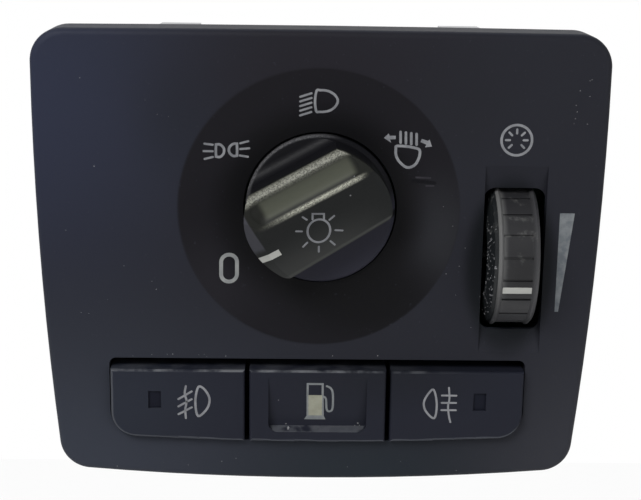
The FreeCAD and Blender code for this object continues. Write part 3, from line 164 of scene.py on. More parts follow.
class Paint:
    """Node material whose colour is laid in layers, each over the ones before."""

    def __init__(self, name, roughness=0.5, specular=0.3, metallic=0.0):
        self.material = bpy.data.materials.new(name)
        self.material.use_nodes = True
        self.nodes = self.material.node_tree.nodes
        self.links = self.material.node_tree.links
        self.shader = self.nodes["Principled BSDF"]
        self.shader.inputs["Specular IOR Level"].default_value = specular
        self.shader.inputs["Metallic"].default_value = metallic
        self.shader.inputs["Roughness"].default_value = roughness
        where = self.nodes.new("ShaderNodeTexCoord")
        self.place = where.outputs["Object"]
        self.outward = where.outputs["Normal"]
        self.colour = None

    def set(self, socket, value):
        """Feed a socket from another socket, or give it a fixed value."""
        if hasattr(value, "links"):
            self.links.new(value, socket)
        else:
            socket.default_value = value

    def calc(self, operation, first, second=0.0):
        """Result of one sum on numbers or sockets."""
        node = self.nodes.new("ShaderNodeMath")
        node.operation = operation
        self.set(node.inputs[0], first)
        self.set(node.inputs[1], second)
        return node.outputs["Value"]

    def noise(self, scale, detail=3.0, roughness=0.55):
        """Soft noise; the scale is in ripples to a metre."""
        node = self.nodes.new("ShaderNodeTexNoise")
        node.inputs["Scale"].default_value = scale
        node.inputs["Detail"].default_value = detail
        node.inputs["Roughness"].default_value = roughness
        self.links.new(self.place, node.inputs["Vector"])
        return node.outputs["Fac"]

    def fade(self, value, start, end):
        """0 where the value is at start, 1 at end, smooth between."""
        node = self.nodes.new("ShaderNodeMapRange")
        node.interpolation_type = "SMOOTHSTEP"
        node.inputs["From Min"].default_value = start
        node.inputs["From Max"].default_value = end
        if start > end:
            node.inputs["From Min"].default_value = end
            node.inputs["From Max"].default_value = start
            node.inputs["To Min"].default_value = 1.0
            node.inputs["To Max"].default_value = 0.0
        self.set(node.inputs["Value"], value)
        return node.outputs["Result"]

    def along(self, direction, origin=(0, 0, 0)):
        """Distance in millimetres from an origin, measured along a direction."""
        shift = self.nodes.new("ShaderNodeVectorMath")
        shift.operation = "SUBTRACT"
        shift.inputs[1].default_value = Vector(origin) * MM
        self.links.new(self.place, shift.inputs[0])
        dot = self.nodes.new("ShaderNodeVectorMath")
        dot.operation = "DOT_PRODUCT"
        dot.inputs[1].default_value = Vector(direction) / MM
        self.links.new(shift.outputs["Vector"], dot.inputs[0])
        return dot.outputs["Value"]

    def away(self, x, z, reach_x=1.0, reach_z=1.0):
        """Distance from a point of the panel, as shares of the two reaches."""
        across = self.calc("POWER", self.calc("DIVIDE", self.along((1, 0, 0), (x, 0, 0)), reach_x), 2.0)
        up = self.calc("POWER", self.calc("DIVIDE", self.along((0, 0, 1), (0, 0, z)), reach_z), 2.0)
        return self.calc("SQRT", self.calc("ADD", across, up))

    def spot(self, x, z, reach_x, reach_z, core=0.0):
        """Soft oval mask: 1 within the core's share of the reach, 0 at the reach."""
        return self.fade(self.away(x, z, reach_x, reach_z), 1.0, core)

    def facing(self, direction, start, end):
        """1 where the face looks along a direction: the share runs from start to end."""
        node = self.nodes.new("ShaderNodeVectorMath")
        node.operation = "DOT_PRODUCT"
        node.inputs[1].default_value = direction
        self.links.new(self.outward, node.inputs[0])
        return self.fade(node.outputs["Value"], start, end)

    def band(self, value, middle, half, soft):
        """1 within half a width of the middle, 0 beyond the soft edge."""
        off = self.calc("ABSOLUTE", self.calc("SUBTRACT", value, middle))
        return self.fade(off, half + soft, half)

    def times(self, *masks):
        """All the masks multiplied."""
        result = masks[0]
        for mask in masks[1:]:
            result = self.calc("MULTIPLY", result, mask)
        return result

    def layer(self, colour, mask=1.0):
        """Lay a colour over what is there, where the mask is 1."""
        if self.colour is None:
            self.shader.inputs["Base Color"].default_value = colour
            self.colour = colour
            return
        mix = self.nodes.new("ShaderNodeMix")
        mix.data_type = "RGBA"
        self.set(mix.inputs["Factor"], mask)
        self.set(mix.inputs["A"], self.colour)
        mix.inputs["B"].default_value = colour
        self.colour = mix.outputs["Result"]
        self.links.new(self.colour, self.shader.inputs["Base Color"])

    def spots(self, rows, within=1.0):
        """Lay a list of soft spots inside a mask."""
        for colour, x, z, reach_x, reach_z, strength in rows:
            self.layer(srgb(*colour), self.times(within, self.spot(x, z, reach_x, reach_z), strength))

    def gloss(self, low, high, mask):
        """Roughness that runs from low to high with the mask."""
        spread = self.nodes.new("ShaderNodeMapRange")
        spread.inputs["To Min"].default_value = low
        spread.inputs["To Max"].default_value = high
        self.set(spread.inputs["Value"], mask)
        self.links.new(spread.outputs["Result"], self.shader.inputs["Roughness"])

    def grain(self, scale, depth, strength=0.3, detail=2.0):
        """Fine relief of the moulded surface; depth in millimetres."""
        relief = self.nodes.new("ShaderNodeBump")
        relief.inputs["Strength"].default_value = strength
        relief.inputs["Distance"].default_value = depth * MM
        pebble = self.noise(scale, detail, 0.6)
        self.links.new(pebble, relief.inputs["Height"])
        self.links.new(relief.outputs["Normal"], self.shader.inputs["Normal"])
        return pebble


def moulded(name, dark, light, roughness=0.5, specular=0.3, scale=900.0, strength=0.25,
            patch_scale=18.0, depth=0.06, metallic=0.0):
    """Plain moulded or rolled surface with slow drifts of colour and gloss."""
    paint = Paint(name, roughness, specular, metallic)
    paint.layer(dark)
    paint.layer(light, paint.fade(paint.noise(patch_scale), 0.3, 0.7))
    pebble = paint.grain(scale, depth, strength)
    paint.gloss(roughness - 0.06, roughness + 0.08, pebble)
    return paint.material


def panel_paint():
    """Panel with painted light and shade: bluish on the left, greyer on the right, and a darker dish with the
    knob's painted shadow.
    """
    paint = Paint("panel_plastic", specular=0.14)
    paint.layer(srgb(35, 36, 43))
    # Painted light and shade: lighter and bluer on the left and low down, darker at the top middle
    paint.spots(PANEL_LIGHT_AND_SHADE)
    away = paint.away(DISH_X, KNOB_Z)
    dish = paint.fade(away, DISH_RADIUS + 0.5, DISH_RADIUS - 0.2)
    paint.layer(srgb(21, 20, 25), dish)
    # Painted light and shade in the dish: lighter at its right and at its lower left
    paint.layer(srgb(38, 39, 43), paint.times(dish, paint.spot(26, 6, 12, 19)))
    paint.layer(srgb(29, 28, 33), paint.times(dish, paint.spot(-24, -6, 14, 18)))
    # Painted shadow of the knob, falling below it to the right and darkest close round it
    paint.layer(srgb(8, 8, 11), paint.times(dish, paint.spot(9, -7, 24, 15, 0.25)))
    paint.layer(srgb(5, 5, 7), paint.times(dish, paint.fade(away, 25.0, 17.5), 0.85))
    slot_shade = paint.spot(WHEEL_X - 0.6, WHEEL_Z - 1.6, 11.2, 22.0, 0.72)
    paint.layer(srgb(12, 16, 20), paint.times(slot_shade, 0.85))
    # Painted highlight on the faces that look down and to the left, and on the faces that look up
    low_left = paint.facing((-0.7, 0, -0.7), 0.5, 0.9)
    top = paint.facing((0, 0, 1), 0.6, 0.95)
    paint.layer(srgb(50, 53, 62), paint.times(paint.calc("MAXIMUM", low_left, top), 0.5))
    pebble = paint.grain(1050.0, 0.05, 0.35)
    paint.layer(srgb(60, 62, 70), paint.times(paint.fade(pebble, 0.66, 0.8), 0.3))
    paint.gloss(0.48, 0.64, pebble)
    return paint.material


def knob_paint():
    """Knob with painted light and shade: bright grainy ridge highlights, a pale olive painted reflection in the
    groove and a slope painted lighter downwards.
    """
    turn = math.radians(KNOB_ANGLE)
    axis = (0, 0, KNOB_Z)
    paint = Paint("knob_plastic", specular=0.16)
    side = paint.along((-math.sin(turn), 0, math.cos(turn)), axis)
    length = paint.along((math.cos(turn), 0, math.sin(turn)), axis)
    height = paint.along((0, -1, 0), (0, PANEL_FRONT, 0))
    raised = paint.fade(height, 0.6, 1.2)
    # Grain that breaks up the painted highlights on the ridges and the rim
    speckle = paint.noise(3100.0, 2.0, 0.65)
    flecks = paint.fade(speckle, 0.38, 0.6)
    wear_and_highlight = paint.calc("ADD", paint.times(flecks, 0.62), 0.32)
    paint.layer(srgb(17, 17, 21))
    # Painted light and shade: the disc on the low side of the grip lighter than the dark flank above the grip
    lower = paint.times(paint.fade(side, 3.0, 7.0), paint.fade(height, 0.9, 0.5))
    paint.layer(srgb(44, 44, 54), lower)
    # Painted highlight along the rim on the upper left
    rim = paint.times(paint.fade(paint.away(0, KNOB_Z), KNOB_RADIUS - 0.7, KNOB_RADIUS - 0.2),
                      paint.fade(paint.along((-0.6, 0, 0.8), axis), 9.0, 14.0))
    paint.layer(srgb(92, 92, 94), paint.times(rim, wear_and_highlight))
    # Painted shade on the slope: dark below the low ridge and lighter towards the foot
    slope = paint.times(raised, paint.fade(side, LOW_RIDGE - 0.2, LOW_RIDGE + 0.3))
    paint.layer(srgb(24, 26, 26), slope)
    paint.layer(srgb(54, 55, 54), paint.times(slope, paint.fade(side, -1.0, SLOPE_FOOT),
                                              paint.fade(length, -18.0, 2.0)))
    # Painted highlight along the slanting foot of the slope, and a painted shadow just beyond it on the disc
    foot = paint.calc("ADD", paint.calc("MULTIPLY", length, FOOT_TAPER), FOOT_MIDDLE)
    past_foot = paint.calc("SUBTRACT", side, foot)
    paint.layer(srgb(64, 65, 63), paint.times(raised, paint.band(past_foot, -0.45, 0.05, 0.4)))
    shade = paint.times(paint.fade(height, 1.4, 0.8), paint.band(past_foot, 0.45, 0.3, 0.6))
    paint.layer(srgb(6, 6, 8), shade)
    crest = paint.times(paint.fade(height, 8.6, 10.4), paint.fade(side, LOW_RIDGE + 0.3, LOW_RIDGE - 0.2))
    paint.layer(srgb(30, 31, 28), crest)
    # Painted reflection in the groove, pale olive
    groove = paint.times(crest, paint.band(side, GROOVE_MIDDLE + 0.1, 1.5, 0.9),
                         paint.band(length, -0.8, 9.6, 1.6))
    paint.layer(srgb(78, 80, 70), groove)
    # Painted highlights on the high and low ridges, broken up by grain
    high = paint.times(paint.fade(height, CREST_HEIGHT - 2.2, CREST_HEIGHT - 0.4),
                       paint.band(side, HIGH_RIDGE - 0.1, 0.4, 1.5), paint.fade(length, 16.0, 12.0))
    paint.layer(srgb(150, 150, 139), paint.times(high, wear_and_highlight))
    low = paint.times(paint.band(side, LOW_RIDGE, 0.1, 0.75), paint.fade(height, 8.0, 9.0),
                      paint.fade(length, 13.0, 1.0), paint.fade(length, -13.6, -10.0))
    paint.layer(srgb(206, 206, 190), paint.times(low, wear_and_highlight))
    # Painted light on the grip's end facet
    paint.layer(srgb(66, 66, 72), paint.times(raised, paint.fade(length, 13.2, 13.6),
                                              paint.fade(side, 1.2, -0.4)))
    pebble = paint.grain(1500.0, 0.05, 0.4)
    paint.gloss(0.42, 0.6, pebble)
    return paint.material


def button_paint():
    """Buttons with painted highlights on the edges along the top, the left end and the foot."""
    paint = Paint("button_plastic", specular=0.15)
    paint.layer(srgb(31, 33, 43))
    # Painted light and shade: lighter at the left, darker right of the middle
    paint.spots(BUTTON_LIGHT_AND_SHADE)
    # Painted highlight along the top edge, fading out to the right and broken into patches
    left = paint.fade(paint.along((1, 0, 0)), 34.0, 6.0)
    patches = paint.fade(paint.noise(260.0), 0.35, 0.65)
    top_highlight = paint.times(paint.facing((0, -0.55, 0.85), 0.8, 0.97), left, patches)
    paint.layer(srgb(100, 102, 106), top_highlight)
    # Painted highlight on the left end of the buttons
    near_left = paint.fade(paint.along((1, 0, 0), (BUTTONS_LEFT, 0, 0)), 4.0, 1.5)
    left_highlight = paint.times(paint.facing((-1, 0, 0), 0.1, 0.45), near_left)
    paint.layer(srgb(82, 84, 90), paint.times(left_highlight, 0.8))
    level = paint.along((0, 0, 1))
    # Painted highlight on the lower chamfer
    chamfer_highlight = paint.times(paint.facing((0, 0, -1), 0.1, 0.45), paint.fade(level, -35.5, -37.5))
    paint.layer(srgb(80, 83, 90), paint.times(chamfer_highlight, 0.85))
    # Painted highlight on the upward faces near the foot, broken into patches
    foot_highlight = paint.times(paint.facing((0, 0, 1), 0.5, 0.9), paint.fade(level, -34.0, -36.0))
    paint.layer(srgb(68, 70, 76), paint.times(foot_highlight, patches))
    pebble = paint.grain(1050.0, 0.05, 0.3)
    paint.gloss(0.46, 0.6, pebble)
    return paint.material


def wheel_paint():
    """Thumbwheel with painted light and shade: highlights on the left shoulder, right end and lower tread, shade
    in the middle, lighter streaks and a darker flank.
    """
    paint = Paint("wheel_plastic", specular=0.35)
    across = paint.along((1, 0, 0))
    streaks = paint.noise(420.0, 4.0, 0.7)
    level = paint.along((0, 0, 1), (0, 0, WHEEL_Z))
    paint.layer(srgb(40, 40, 42))
    # Painted shade in the middle of the tread
    paint.layer(srgb(22, 22, 24), paint.times(paint.spot(WHEEL_X + 1.2, WHEEL_Z - 2.5, 7.0, 9.0), 0.95))
    # Painted highlight on the left shoulder, strongest towards the top
    shoulder = paint.fade(across, WHEEL_SIDE_X + 2.6, WHEEL_SIDE_X + 0.4)
    paint.layer(srgb(118, 118, 117), paint.times(shoulder, paint.fade(level, -14.0, 2.0), 0.8))
    # Painted highlight along the right end
    paint.layer(srgb(60, 60, 62), paint.fade(across, WHEEL_END_X - 1.8, WHEEL_END_X - 0.6))
    # Painted light on the lower tread
    paint.layer(srgb(82, 82, 84), paint.times(paint.fade(level, -5.0, -14.0), 0.6))
    paint.layer(srgb(24, 27, 29), paint.fade(across, WHEEL_SIDE_X + 0.35, WHEEL_SIDE_X + 0.15))
    # Lighter streaks on the tread, stronger towards the top
    upper_streaks = paint.times(paint.fade(streaks, 0.54, 0.74), paint.fade(level, -6.0, 9.0), 0.6)
    paint.layer(srgb(100, 100, 98), upper_streaks)
    pebble = paint.grain(900.0, 0.06, 0.4)
    paint.gloss(0.36, 0.52, pebble)
    return paint.material


def ink(name, colour, wear_and_highlight):
    """Printed paint with slight fading."""
    return moulded(name, wear_and_highlight, colour, 0.6, 0.1, 1500.0, 0.1, 500.0, 0.02)


MATERIALS = {
    "panel_plastic": panel_paint(),
    "knob_plastic": knob_paint(),
    "button_plastic": button_paint(),
    "wheel_plastic": wheel_paint(),
    "inner_plastic": moulded("inner_plastic", srgb(8, 8, 9), srgb(12, 12, 13), 0.6, 0.15),
    "housing_plastic": moulded("housing_plastic", srgb(24, 24, 26), srgb(34, 34, 36), 0.5, 0.35, 500.0),
    "white_insert": moulded("white_insert", srgb(172, 172, 167), srgb(192, 192, 186), 0.45, 0.3, 800.0, 0.1),
    "indicator_lens": moulded("indicator_lens", srgb(20, 22, 31), srgb(25, 27, 37), 0.5, 0.08, 900.0, 0.05),
    "natural_nylon": moulded("natural_nylon", srgb(214, 208, 190), srgb(226, 221, 206), 0.45, 0.4, 400.0),
    "black_steel": moulded("black_steel", srgb(16, 16, 17), srgb(22, 22, 24), 0.5, 0.3, 260.0),
    "silicone": moulded("silicone", srgb(120, 122, 126), srgb(136, 138, 142), 0.65, 0.3, 300.0),
    "clear_guide": moulded("clear_guide", srgb(190, 198, 202), srgb(204, 211, 214), 0.12, 0.5, 200.0, 0.03),
    "board_laminate": moulded("board_laminate", srgb(14, 74, 38), srgb(20, 92, 48), 0.35, 0.5, 700.0, 0.15),
    "component_body": moulded("component_body", srgb(22, 22, 23), srgb(30, 30, 31), 0.5, 0.35, 600.0),
    "lamp_body": moulded("lamp_body", srgb(226, 224, 205), srgb(236, 234, 218), 0.3, 0.5, 500.0, 0.05),
    "can_metal": moulded("can_metal", srgb(176, 178, 182), srgb(198, 200, 203), 0.3, 0.5, 250.0, 0.1,
                         metallic=1.0),
    "contact_metal": moulded("contact_metal", srgb(196, 166, 96), srgb(214, 186, 118), 0.28, 0.5, 400.0,
                             0.1, metallic=1.0),
    "spring_steel": moulded("spring_steel", srgb(150, 152, 156), srgb(176, 178, 181), 0.3, 0.5, 260.0,
                            0.2, metallic=1.0),
    "screw_steel": moulded("screw_steel", srgb(150, 150, 152), srgb(182, 182, 184), 0.32, 0.5, 260.0,
                           0.2, metallic=1.0),
    "symbol_ink": ink("symbol_ink", srgb(146, 147, 150), srgb(124, 125, 129)),
    "zero_ink": ink("zero_ink", srgb(150, 152, 150), srgb(134, 136, 136)),
    "pump_ink": ink("pump_ink", srgb(160, 160, 144), srgb(148, 148, 132)),
    "pump_rim_ink": ink("pump_rim_ink", srgb(134, 137, 138), srgb(118, 122, 124)),
    "scale_ink": ink("scale_ink", srgb(128, 132, 134), srgb(100, 105, 110)),
    "scuff_mark": ink("scuff_mark", srgb(56, 54, 59), srgb(44, 43, 48)),
    "dark_scuff": ink("dark_scuff", srgb(14, 14, 18), srgb(20, 20, 24)),
    "dust": ink("dust", srgb(150, 150, 152), srgb(84, 84, 86)),
}

# CAD nodes take the material of their slot
for row in frame["record"]["subparts"]:
    node = frame["nodes"][row["node"]]
    node.data.materials.clear()
    node.data.materials.append(MATERIALS[row["material_slot"]])

# The axle shows beside the thumbwheel, blackened
frame["nodes"]["dimmer_axle"].data.materials[0] = MATERIALS["black_steel"]


# Flat print drawn in millimetres and laid on the faces of a node
def arc(x, z, radius, start, end, count=16, stretch=1.0):
    """Points of an arc; angles in degrees, from +X towards +Z."""
    points = []
    for step in range(count + 1):
        turn = math.radians(start + (end - start) * step / count)
        points.append((x + radius * math.cos(turn), z + stretch * radius * math.sin(turn)))
    return points


def smooth(points, closed=False, parts=5):
    """A curve through the points, by cubic pieces."""
    count = len(points)
    result = []
    for index in range(count if closed else count - 1):
        around = []
        for step in (-1, 0, 1, 2):
            place = (index + step) % count if closed else min(max(index + step, 0), count - 1)
            around.append(Vector(points[place]))
        before, start, end, after = around
        for part in range(parts):
            t = part / parts
            bend = (2 * start + (end - before) * t + (2 * before - 5 * start + 4 * end - after) * t ** 2
                    + (3 * start - before - 3 * end + after) * t ** 3) / 2
            result.append(tuple(bend))
    if not closed:
        result.append(tuple(points[-1]))
    return result


def fine(points, closed):
    """The same line with points no further apart than the longest step."""
    result = []
    count = len(points)
    for index in range(count if closed else count - 1):
        start, end = Vector(points[index]), Vector(points[(index + 1) % count])
        parts = max(1, math.ceil((end - start).length / LONGEST_STEP))
        result += [start.lerp(end, part / parts) for part in range(parts)]
    if not closed:
        result.append(Vector(points[-1]))
    return result


def stroke(points, width=STROKE, closed=False):
    """One stroke along points, as a list of outlines, with round ends where it is open."""
    half = width / 2
    line = fine(points, closed)
    count = len(line)
    lefts, rights = [], []
    for index, here in enumerate(line):
        steps = []
        if index or closed:
            steps.append((here - line[index - 1]).normalized())
        if index < count - 1 or closed:
            steps.append((line[(index + 1) % count] - here).normalized())
        along = sum(steps, Vector((0, 0))).normalized()
        side = Vector((-along.y, along.x))
        first = Vector((-steps[0].y, steps[0].x))
        reach = half / max(0.5, side.dot(first))
        lefts.append(here + side * reach)
        rights.append(here - side * reach)
    outlines = []
    for index in range(count if closed else count - 1):
        follow = (index + 1) % count
        outlines.append([rights[index], rights[follow], lefts[follow], lefts[index]])
    if not closed:
        for end, inner in ((line[0], line[1]), (line[-1], line[-2])):
            out = end - inner
            base = math.degrees(math.atan2(out.y, out.x))
            outlines.append([Vector(p) for p in arc(end.x, end.y, half, base - 90, base + 90, 8)])
    return outlines


def fill(points):
    """One filled outline."""
    return [[Vector(p) for p in points]]


trees = {}


def depth_at(node, x, z):
    """Where a line of sight straight from the front first meets a node."""
    if node not in trees:
        mesh = frame["nodes"][node].data
        trees[node] = BVHTree.FromPolygons([v.co for v in mesh.vertices],
                                           [tuple(face.vertices) for face in mesh.polygons])
    hit = trees[node].ray_cast(Vector((x * MM, -1.0, z * MM)), Vector((0, 1, 0)))
    return hit[0].y / MM if hit[0] else None


def new_piece(name, vertices, faces, material, body):
    """Make a mesh from millimetres and let it ride on a body."""
    mesh = bpy.data.meshes.new(name)
    mesh.from_pydata([Vector(v) * MM for v in vertices], [], faces)
    mesh.validate()
    mesh.update()
    piece = bpy.data.objects.new(name, mesh)
    bpy.context.scene.collection.objects.link(piece)
    mesh.materials.append(MATERIALS[material])
    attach(piece, body)


def slab_faces(base, size, turned=False):
    """Faces of a slab whose two outlines follow each other from a base index."""
    faces = [[base + i for i in range(size)]]
    faces.append([base + size + i for i in reversed(range(size))])
    for i in range(size):
        j = (i + 1) % size
        faces.append([base + i, base + size + i, base + size + j, base + j])
    return [face[::-1] for face in faces] if turned else faces


def lay_print(name, outlines, node, material, body):
    """Make thin slabs of the outlines on the front face of a node."""
    vertices, faces = [], []
    for outline in outlines:
        base = len(vertices)
        size = len(outline)
        depths = [depth_at(node, point.x, point.y) for point in outline]
        for lift in (PRINT_THICKNESS, -PRINT_THICKNESS):
            vertices += [(point.x, depth - lift, point.y) for point, depth in zip(outline, depths)]
        faces += slab_faces(base, size)
    new_piece(name, vertices, faces, material, body)


# Symbols on the dish
zero = stroke(arc(ZERO_X, ZERO_TOP, ZERO_RADIUS, 0, 180, 12, ZERO_STRETCH)
              + arc(ZERO_X, ZERO_FOOT, ZERO_RADIUS, 180, 360, 12, ZERO_STRETCH), ZERO_STROKE, closed=True)
lay_print("mark_zero", zero, "front_bezel", "zero_ink", "root")

position_lamps = stroke(smooth([(-22.2, 25.7), (-21.4, 25.7), (-20.7, 25.1), (-20.5, 24.4), (-20.7, 23.6),
                                (-21.4, 23.0), (-22.2, 23.1)]) + [(-22.25, 24.4)], ROUND_STROKE,
                        closed=True)
position_lamps += stroke(smooth([(-17.8, 25.85), (-18.6, 25.8), (-19.3, 25.2), (-19.5, 24.5), (-19.3, 23.8),
                                 (-18.6, 23.2), (-17.8, 23.25)]) + [(-17.75, 24.5)], ROUND_STROKE,
                         closed=True)
for start, end in (((-24.6, 25.9), (-22.9, 25.65)), ((-24.8, 24.3), (-22.9, 24.25)),
                   ((-24.6, 22.6), (-22.9, 23.0)), ((-17.1, 25.95), (-15.4, 26.4)),
                   ((-17.1, 24.7), (-15.2, 24.85)), ((-17.2, 23.3), (-15.5, 23.0))):
    position_lamps += stroke([start, end], FINE_STROKE)
lay_print("mark_position_lamps", position_lamps, "front_bezel", "symbol_ink", "root")

dipped_beam = stroke(smooth([(-1.1, 37.3), (-0.3, 37.45), (0.9, 37.4), (2.0, 37.0), (2.9, 36.3), (3.4, 35.2),
                             (2.9, 34.0), (1.9, 33.2), (0.7, 32.85), (-0.4, 32.8), (-1.1, 32.95),
                             (-1.4, 35.0)], closed=True), DIPPED_STROKE, closed=True)
for row in range(5):
    low = 36.0 - row
    dipped_beam += stroke([(-4.5, low), (-2.15, low + 0.77)], FINE_STROKE)
lay_print("mark_dipped_beam", dipped_beam, "front_bezel", "symbol_ink", "root")

steered_beam = stroke(smooth([(16.1, 25.7), (18.0, 25.7), (19.4, 25.5), (20.8, 25.1), (21.0, 24.0),
                              (20.6, 22.6), (19.9, 21.6), (18.7, 21.1), (17.7, 21.45), (16.6, 22.5),
                              (16.0, 23.7), (15.9, 25.1)], closed=True), STEERED_STROKE, closed=True)
for index in range(4):
    across = 16.78 + index * 1.13
    high = 28.8 - index * 0.12
    steered_beam += stroke([(across, high), (across + 0.08, high - 2.35)], STEERED_BAR_STROKE)
steered_beam += fill([(13.3, 27.4), (14.3, 28.4), (14.5, 27.9), (15.8, 27.95), (15.8, 27.2), (14.6, 27.1),
                      (14.9, 26.4)])
steered_beam += fill([(23.5, 25.8), (22.95, 27.3), (22.6, 27.0), (21.3, 27.4), (21.05, 26.7), (22.3, 26.2),
                      (22.05, 25.6)])
lay_print("mark_steered_beam", steered_beam, "front_bezel", "symbol_ink", "root")

# Marks beside the thumbwheel
lit_dial = stroke(arc(*DIAL_CENTRE, DIAL_RADIUS, 0, 360, 48)[:-1], ROUND_STROKE, closed=True)
for angle in (0, 45, 90, 135, 180, 225, 315):
    out = Vector((math.cos(math.radians(angle)), math.sin(math.radians(angle))))
    lit_dial += stroke([DIAL_CENTRE + out * reach for reach in DIAL_TICKS], FINE_STROKE)
lay_print("mark_lit_dial", lit_dial, "front_bezel", "symbol_ink", "root")

wedge = []
for row in range(WEDGE_ROWS):
    slant = [Vector(WEDGE_LOW).lerp(Vector(WEDGE_HIGH), step / WEDGE_ROWS) for step in (row, row + 1)]
    (low_x, low), (high_x, high) = slant
    wedge += fill([(WEDGE_LEFT, low), (low_x, low), (high_x, high), (WEDGE_LEFT, high)])
lay_print("mark_dimmer_scale", wedge, "front_bezel", "scale_ink", "root")

# Lit bulb on the grip's slope, drawn as the slope foreshortens it
bulb_round = arc(*BULB_CENTRE, BULB_RADII[0], 0, 360, 36, BULB_RADII[1] / BULB_RADII[0])[:-1]
bulb = stroke(bulb_round, FINE_STROKE, closed=True)
bulb += stroke([(-1.74, 11.95), (-1.76, 13.3), (0.6, 13.15), (0.64, 11.8)], THIN_STROKE)
for start, end in (((-5.1, 9.3), (-3.9, 9.2)), ((3.1, 9.15), (4.6, 9.0)), ((-0.3, 5.4), (-0.28, 4.2)),
                   ((-3.8, 12.65), (-2.95, 11.95)), ((1.8, 11.65), (2.75, 12.55)),
                   ((-3.6, 5.5), (-2.75, 6.45)), ((2.15, 6.6), (3.05, 5.75))):
    bulb += stroke([start, end], THIN_STROKE)
lay_print("mark_bulb", bulb, "knob", "symbol_ink", "knob_body")

# Symbols on the buttons
front_fog = stroke(smooth([(-26.15, -27.6), (-24.8, -28.1), (-23.7, -30.2), (-24.2, -32.5), (-26.2, -34.3),
                           (-26.8, -31.0)], closed=True), STROKE, closed=True)
for high, low in ((-28.6, -30.4), (-30.4, -32.1), (-32.3, -33.9)):
    front_fog += stroke([(-27.6, high), (-30.5, low)], FINE_STROKE)
front_stem = [(-28.85, -27.4), (-29.1, -29.1), (-28.7, -30.9), (-29.0, -32.7), (-28.9, -34.8)]
front_fog += stroke(smooth(front_stem), FINE_STROKE)
lay_print("mark_front_fog", front_fog, "front_fog_button", "symbol_ink", "front_fog_body")

rear_fog = stroke(smooth([(25.5, -27.85), (24.4, -28.6), (23.4, -30.7), (23.9, -32.8), (25.8, -34.4),
                          (26.25, -31.1)], closed=True), FINE_STROKE, closed=True)
for level in (-29.1, -30.8, -32.5):
    rear_fog += stroke([(27.3, level), (30.5, level)], THIN_STROKE)
rear_stem = [(28.8, -27.3), (29.0, -29.8), (28.75, -31.7), (29.05, -34.0), (29.4, -35.3)]
rear_fog += stroke(smooth(rear_stem), THIN_STROKE)
lay_print("mark_rear_fog", rear_fog, "rear_fog_button", "symbol_ink", "rear_fog_body")

pump_rim = stroke([(-2.2, -29.6), (-2.2, -26.75), (1.08, -26.75), (1.12, -29.6)], FINE_STROKE)
pump_rim += stroke([(-2.2, -29.6), (-2.15, -34.4)], THIN_STROKE)
pump_rim += stroke([(1.12, -29.6), (1.25, -34.4)], THIN_STROKE)
pump_rim += fill([(-2.3, -34.5), (1.4, -34.5), (1.85, -35.5), (-2.9, -35.5)])
pump_rim += stroke(smooth([(2.0, -27.25), (2.85, -27.75), (3.35, -29.1), (3.35, -32.7), (2.65, -33.5),
                           (2.05, -32.9), (1.85, -30.4), (1.2, -29.8)]), FINE_STROKE)
lay_print("mark_pump_outline", pump_rim, "fuel_flap_button", "pump_rim_ink", "fuel_flap_body")
pump = []
for row in range(5):
    high = -29.5 - row
    pump += fill([(-1.98, high - 1), (1.05, high - 1), (1.0, high), (-2.0, high)])
lay_print("mark_pump_body", pump, "fuel_flap_button", "pump_ink", "fuel_flap_body")

# Scuffs and dust
scuff = stroke([(20.4, 19.0), (23.4, 18.95)], 0.4) + stroke([(22.6, 17.2), (24.2, 17.25)], 0.3)
lay_print("scuff_light", scuff, "front_bezel", "scuff_mark", "root")
lay_print("scuff_dark", stroke([(19.7, 18.2), (22.0, 18.1), (24.4, 17.9)], 0.7), "front_bezel", "dark_scuff",
          "root")

random.seed(SPECK_SEED)


def speck(size):
    """Outline of one crumb of dust about the origin."""
    start = random.uniform(0, 60)
    points = []
    for turn in (0, 70, 145, 210, 290):
        reach = size * random.uniform(0.5, 1.0)
        angle = math.radians(start + turn)
        points.append((reach * math.cos(angle), reach * math.sin(angle)))
    return points


def speckled(places, size):
    """Crumbs about the given places, each a little off."""
    outlines = []
    for x, z in places:
        outlines.append([Vector((x + dx, z + dz)) for dx, dz in speck(size * random.uniform(0.6, 1.3))])
    return outlines


panel_specks = []
for count, low, high in ((12, (-56, -18), (-30, 44)), (9, (50, 30), (57, 42)), (8, (26, -16), (35, 30)),
                         (8, (-50, -48), (40, -44))):
    for index in range(count):
        panel_specks.append((random.uniform(low[0], high[0]), random.uniform(low[1], high[1])))
for x in (-40.5, -36.4, -33.0, -31.8, -26.1, -24.9, -24.4, -20.2, 13.1, 3.2):
    panel_specks.append((x, -20.9 + random.uniform(-0.3, 0.2)))
lay_print("panel_dust", speckled(panel_specks, PANEL_CRUMB), "front_bezel", "dust", "root")
knob_specks = [(-13.0, 16.4), (6.6, 21.6), (6.0, 17.2), (-7.2, 19.8)]
lay_print("knob_dust", speckled(knob_specks, KNOB_CRUMB), "knob", "dust", "knob_body")
scoop_specks = [(-8.6, -30.8), (9.0, -36.4), (8.4, -36.9), (-6.9, -36.6), (-6.4, -37.4), (9.4, -36.9)]
lay_print("scoop_dust", speckled(scoop_specks, SCOOP_CRUMB), "fuel_flap_button", "dust", "fuel_flap_body")


def flank_reach(radius):
    """How far the dome stands out from the side face at a radius."""
    for (outer, far), (inner, near) in zip(FLANK, FLANK[1:]):
        if near <= radius <= far:
            return inner + (outer - inner) * (radius - near) / (far - near)
    return 0.0


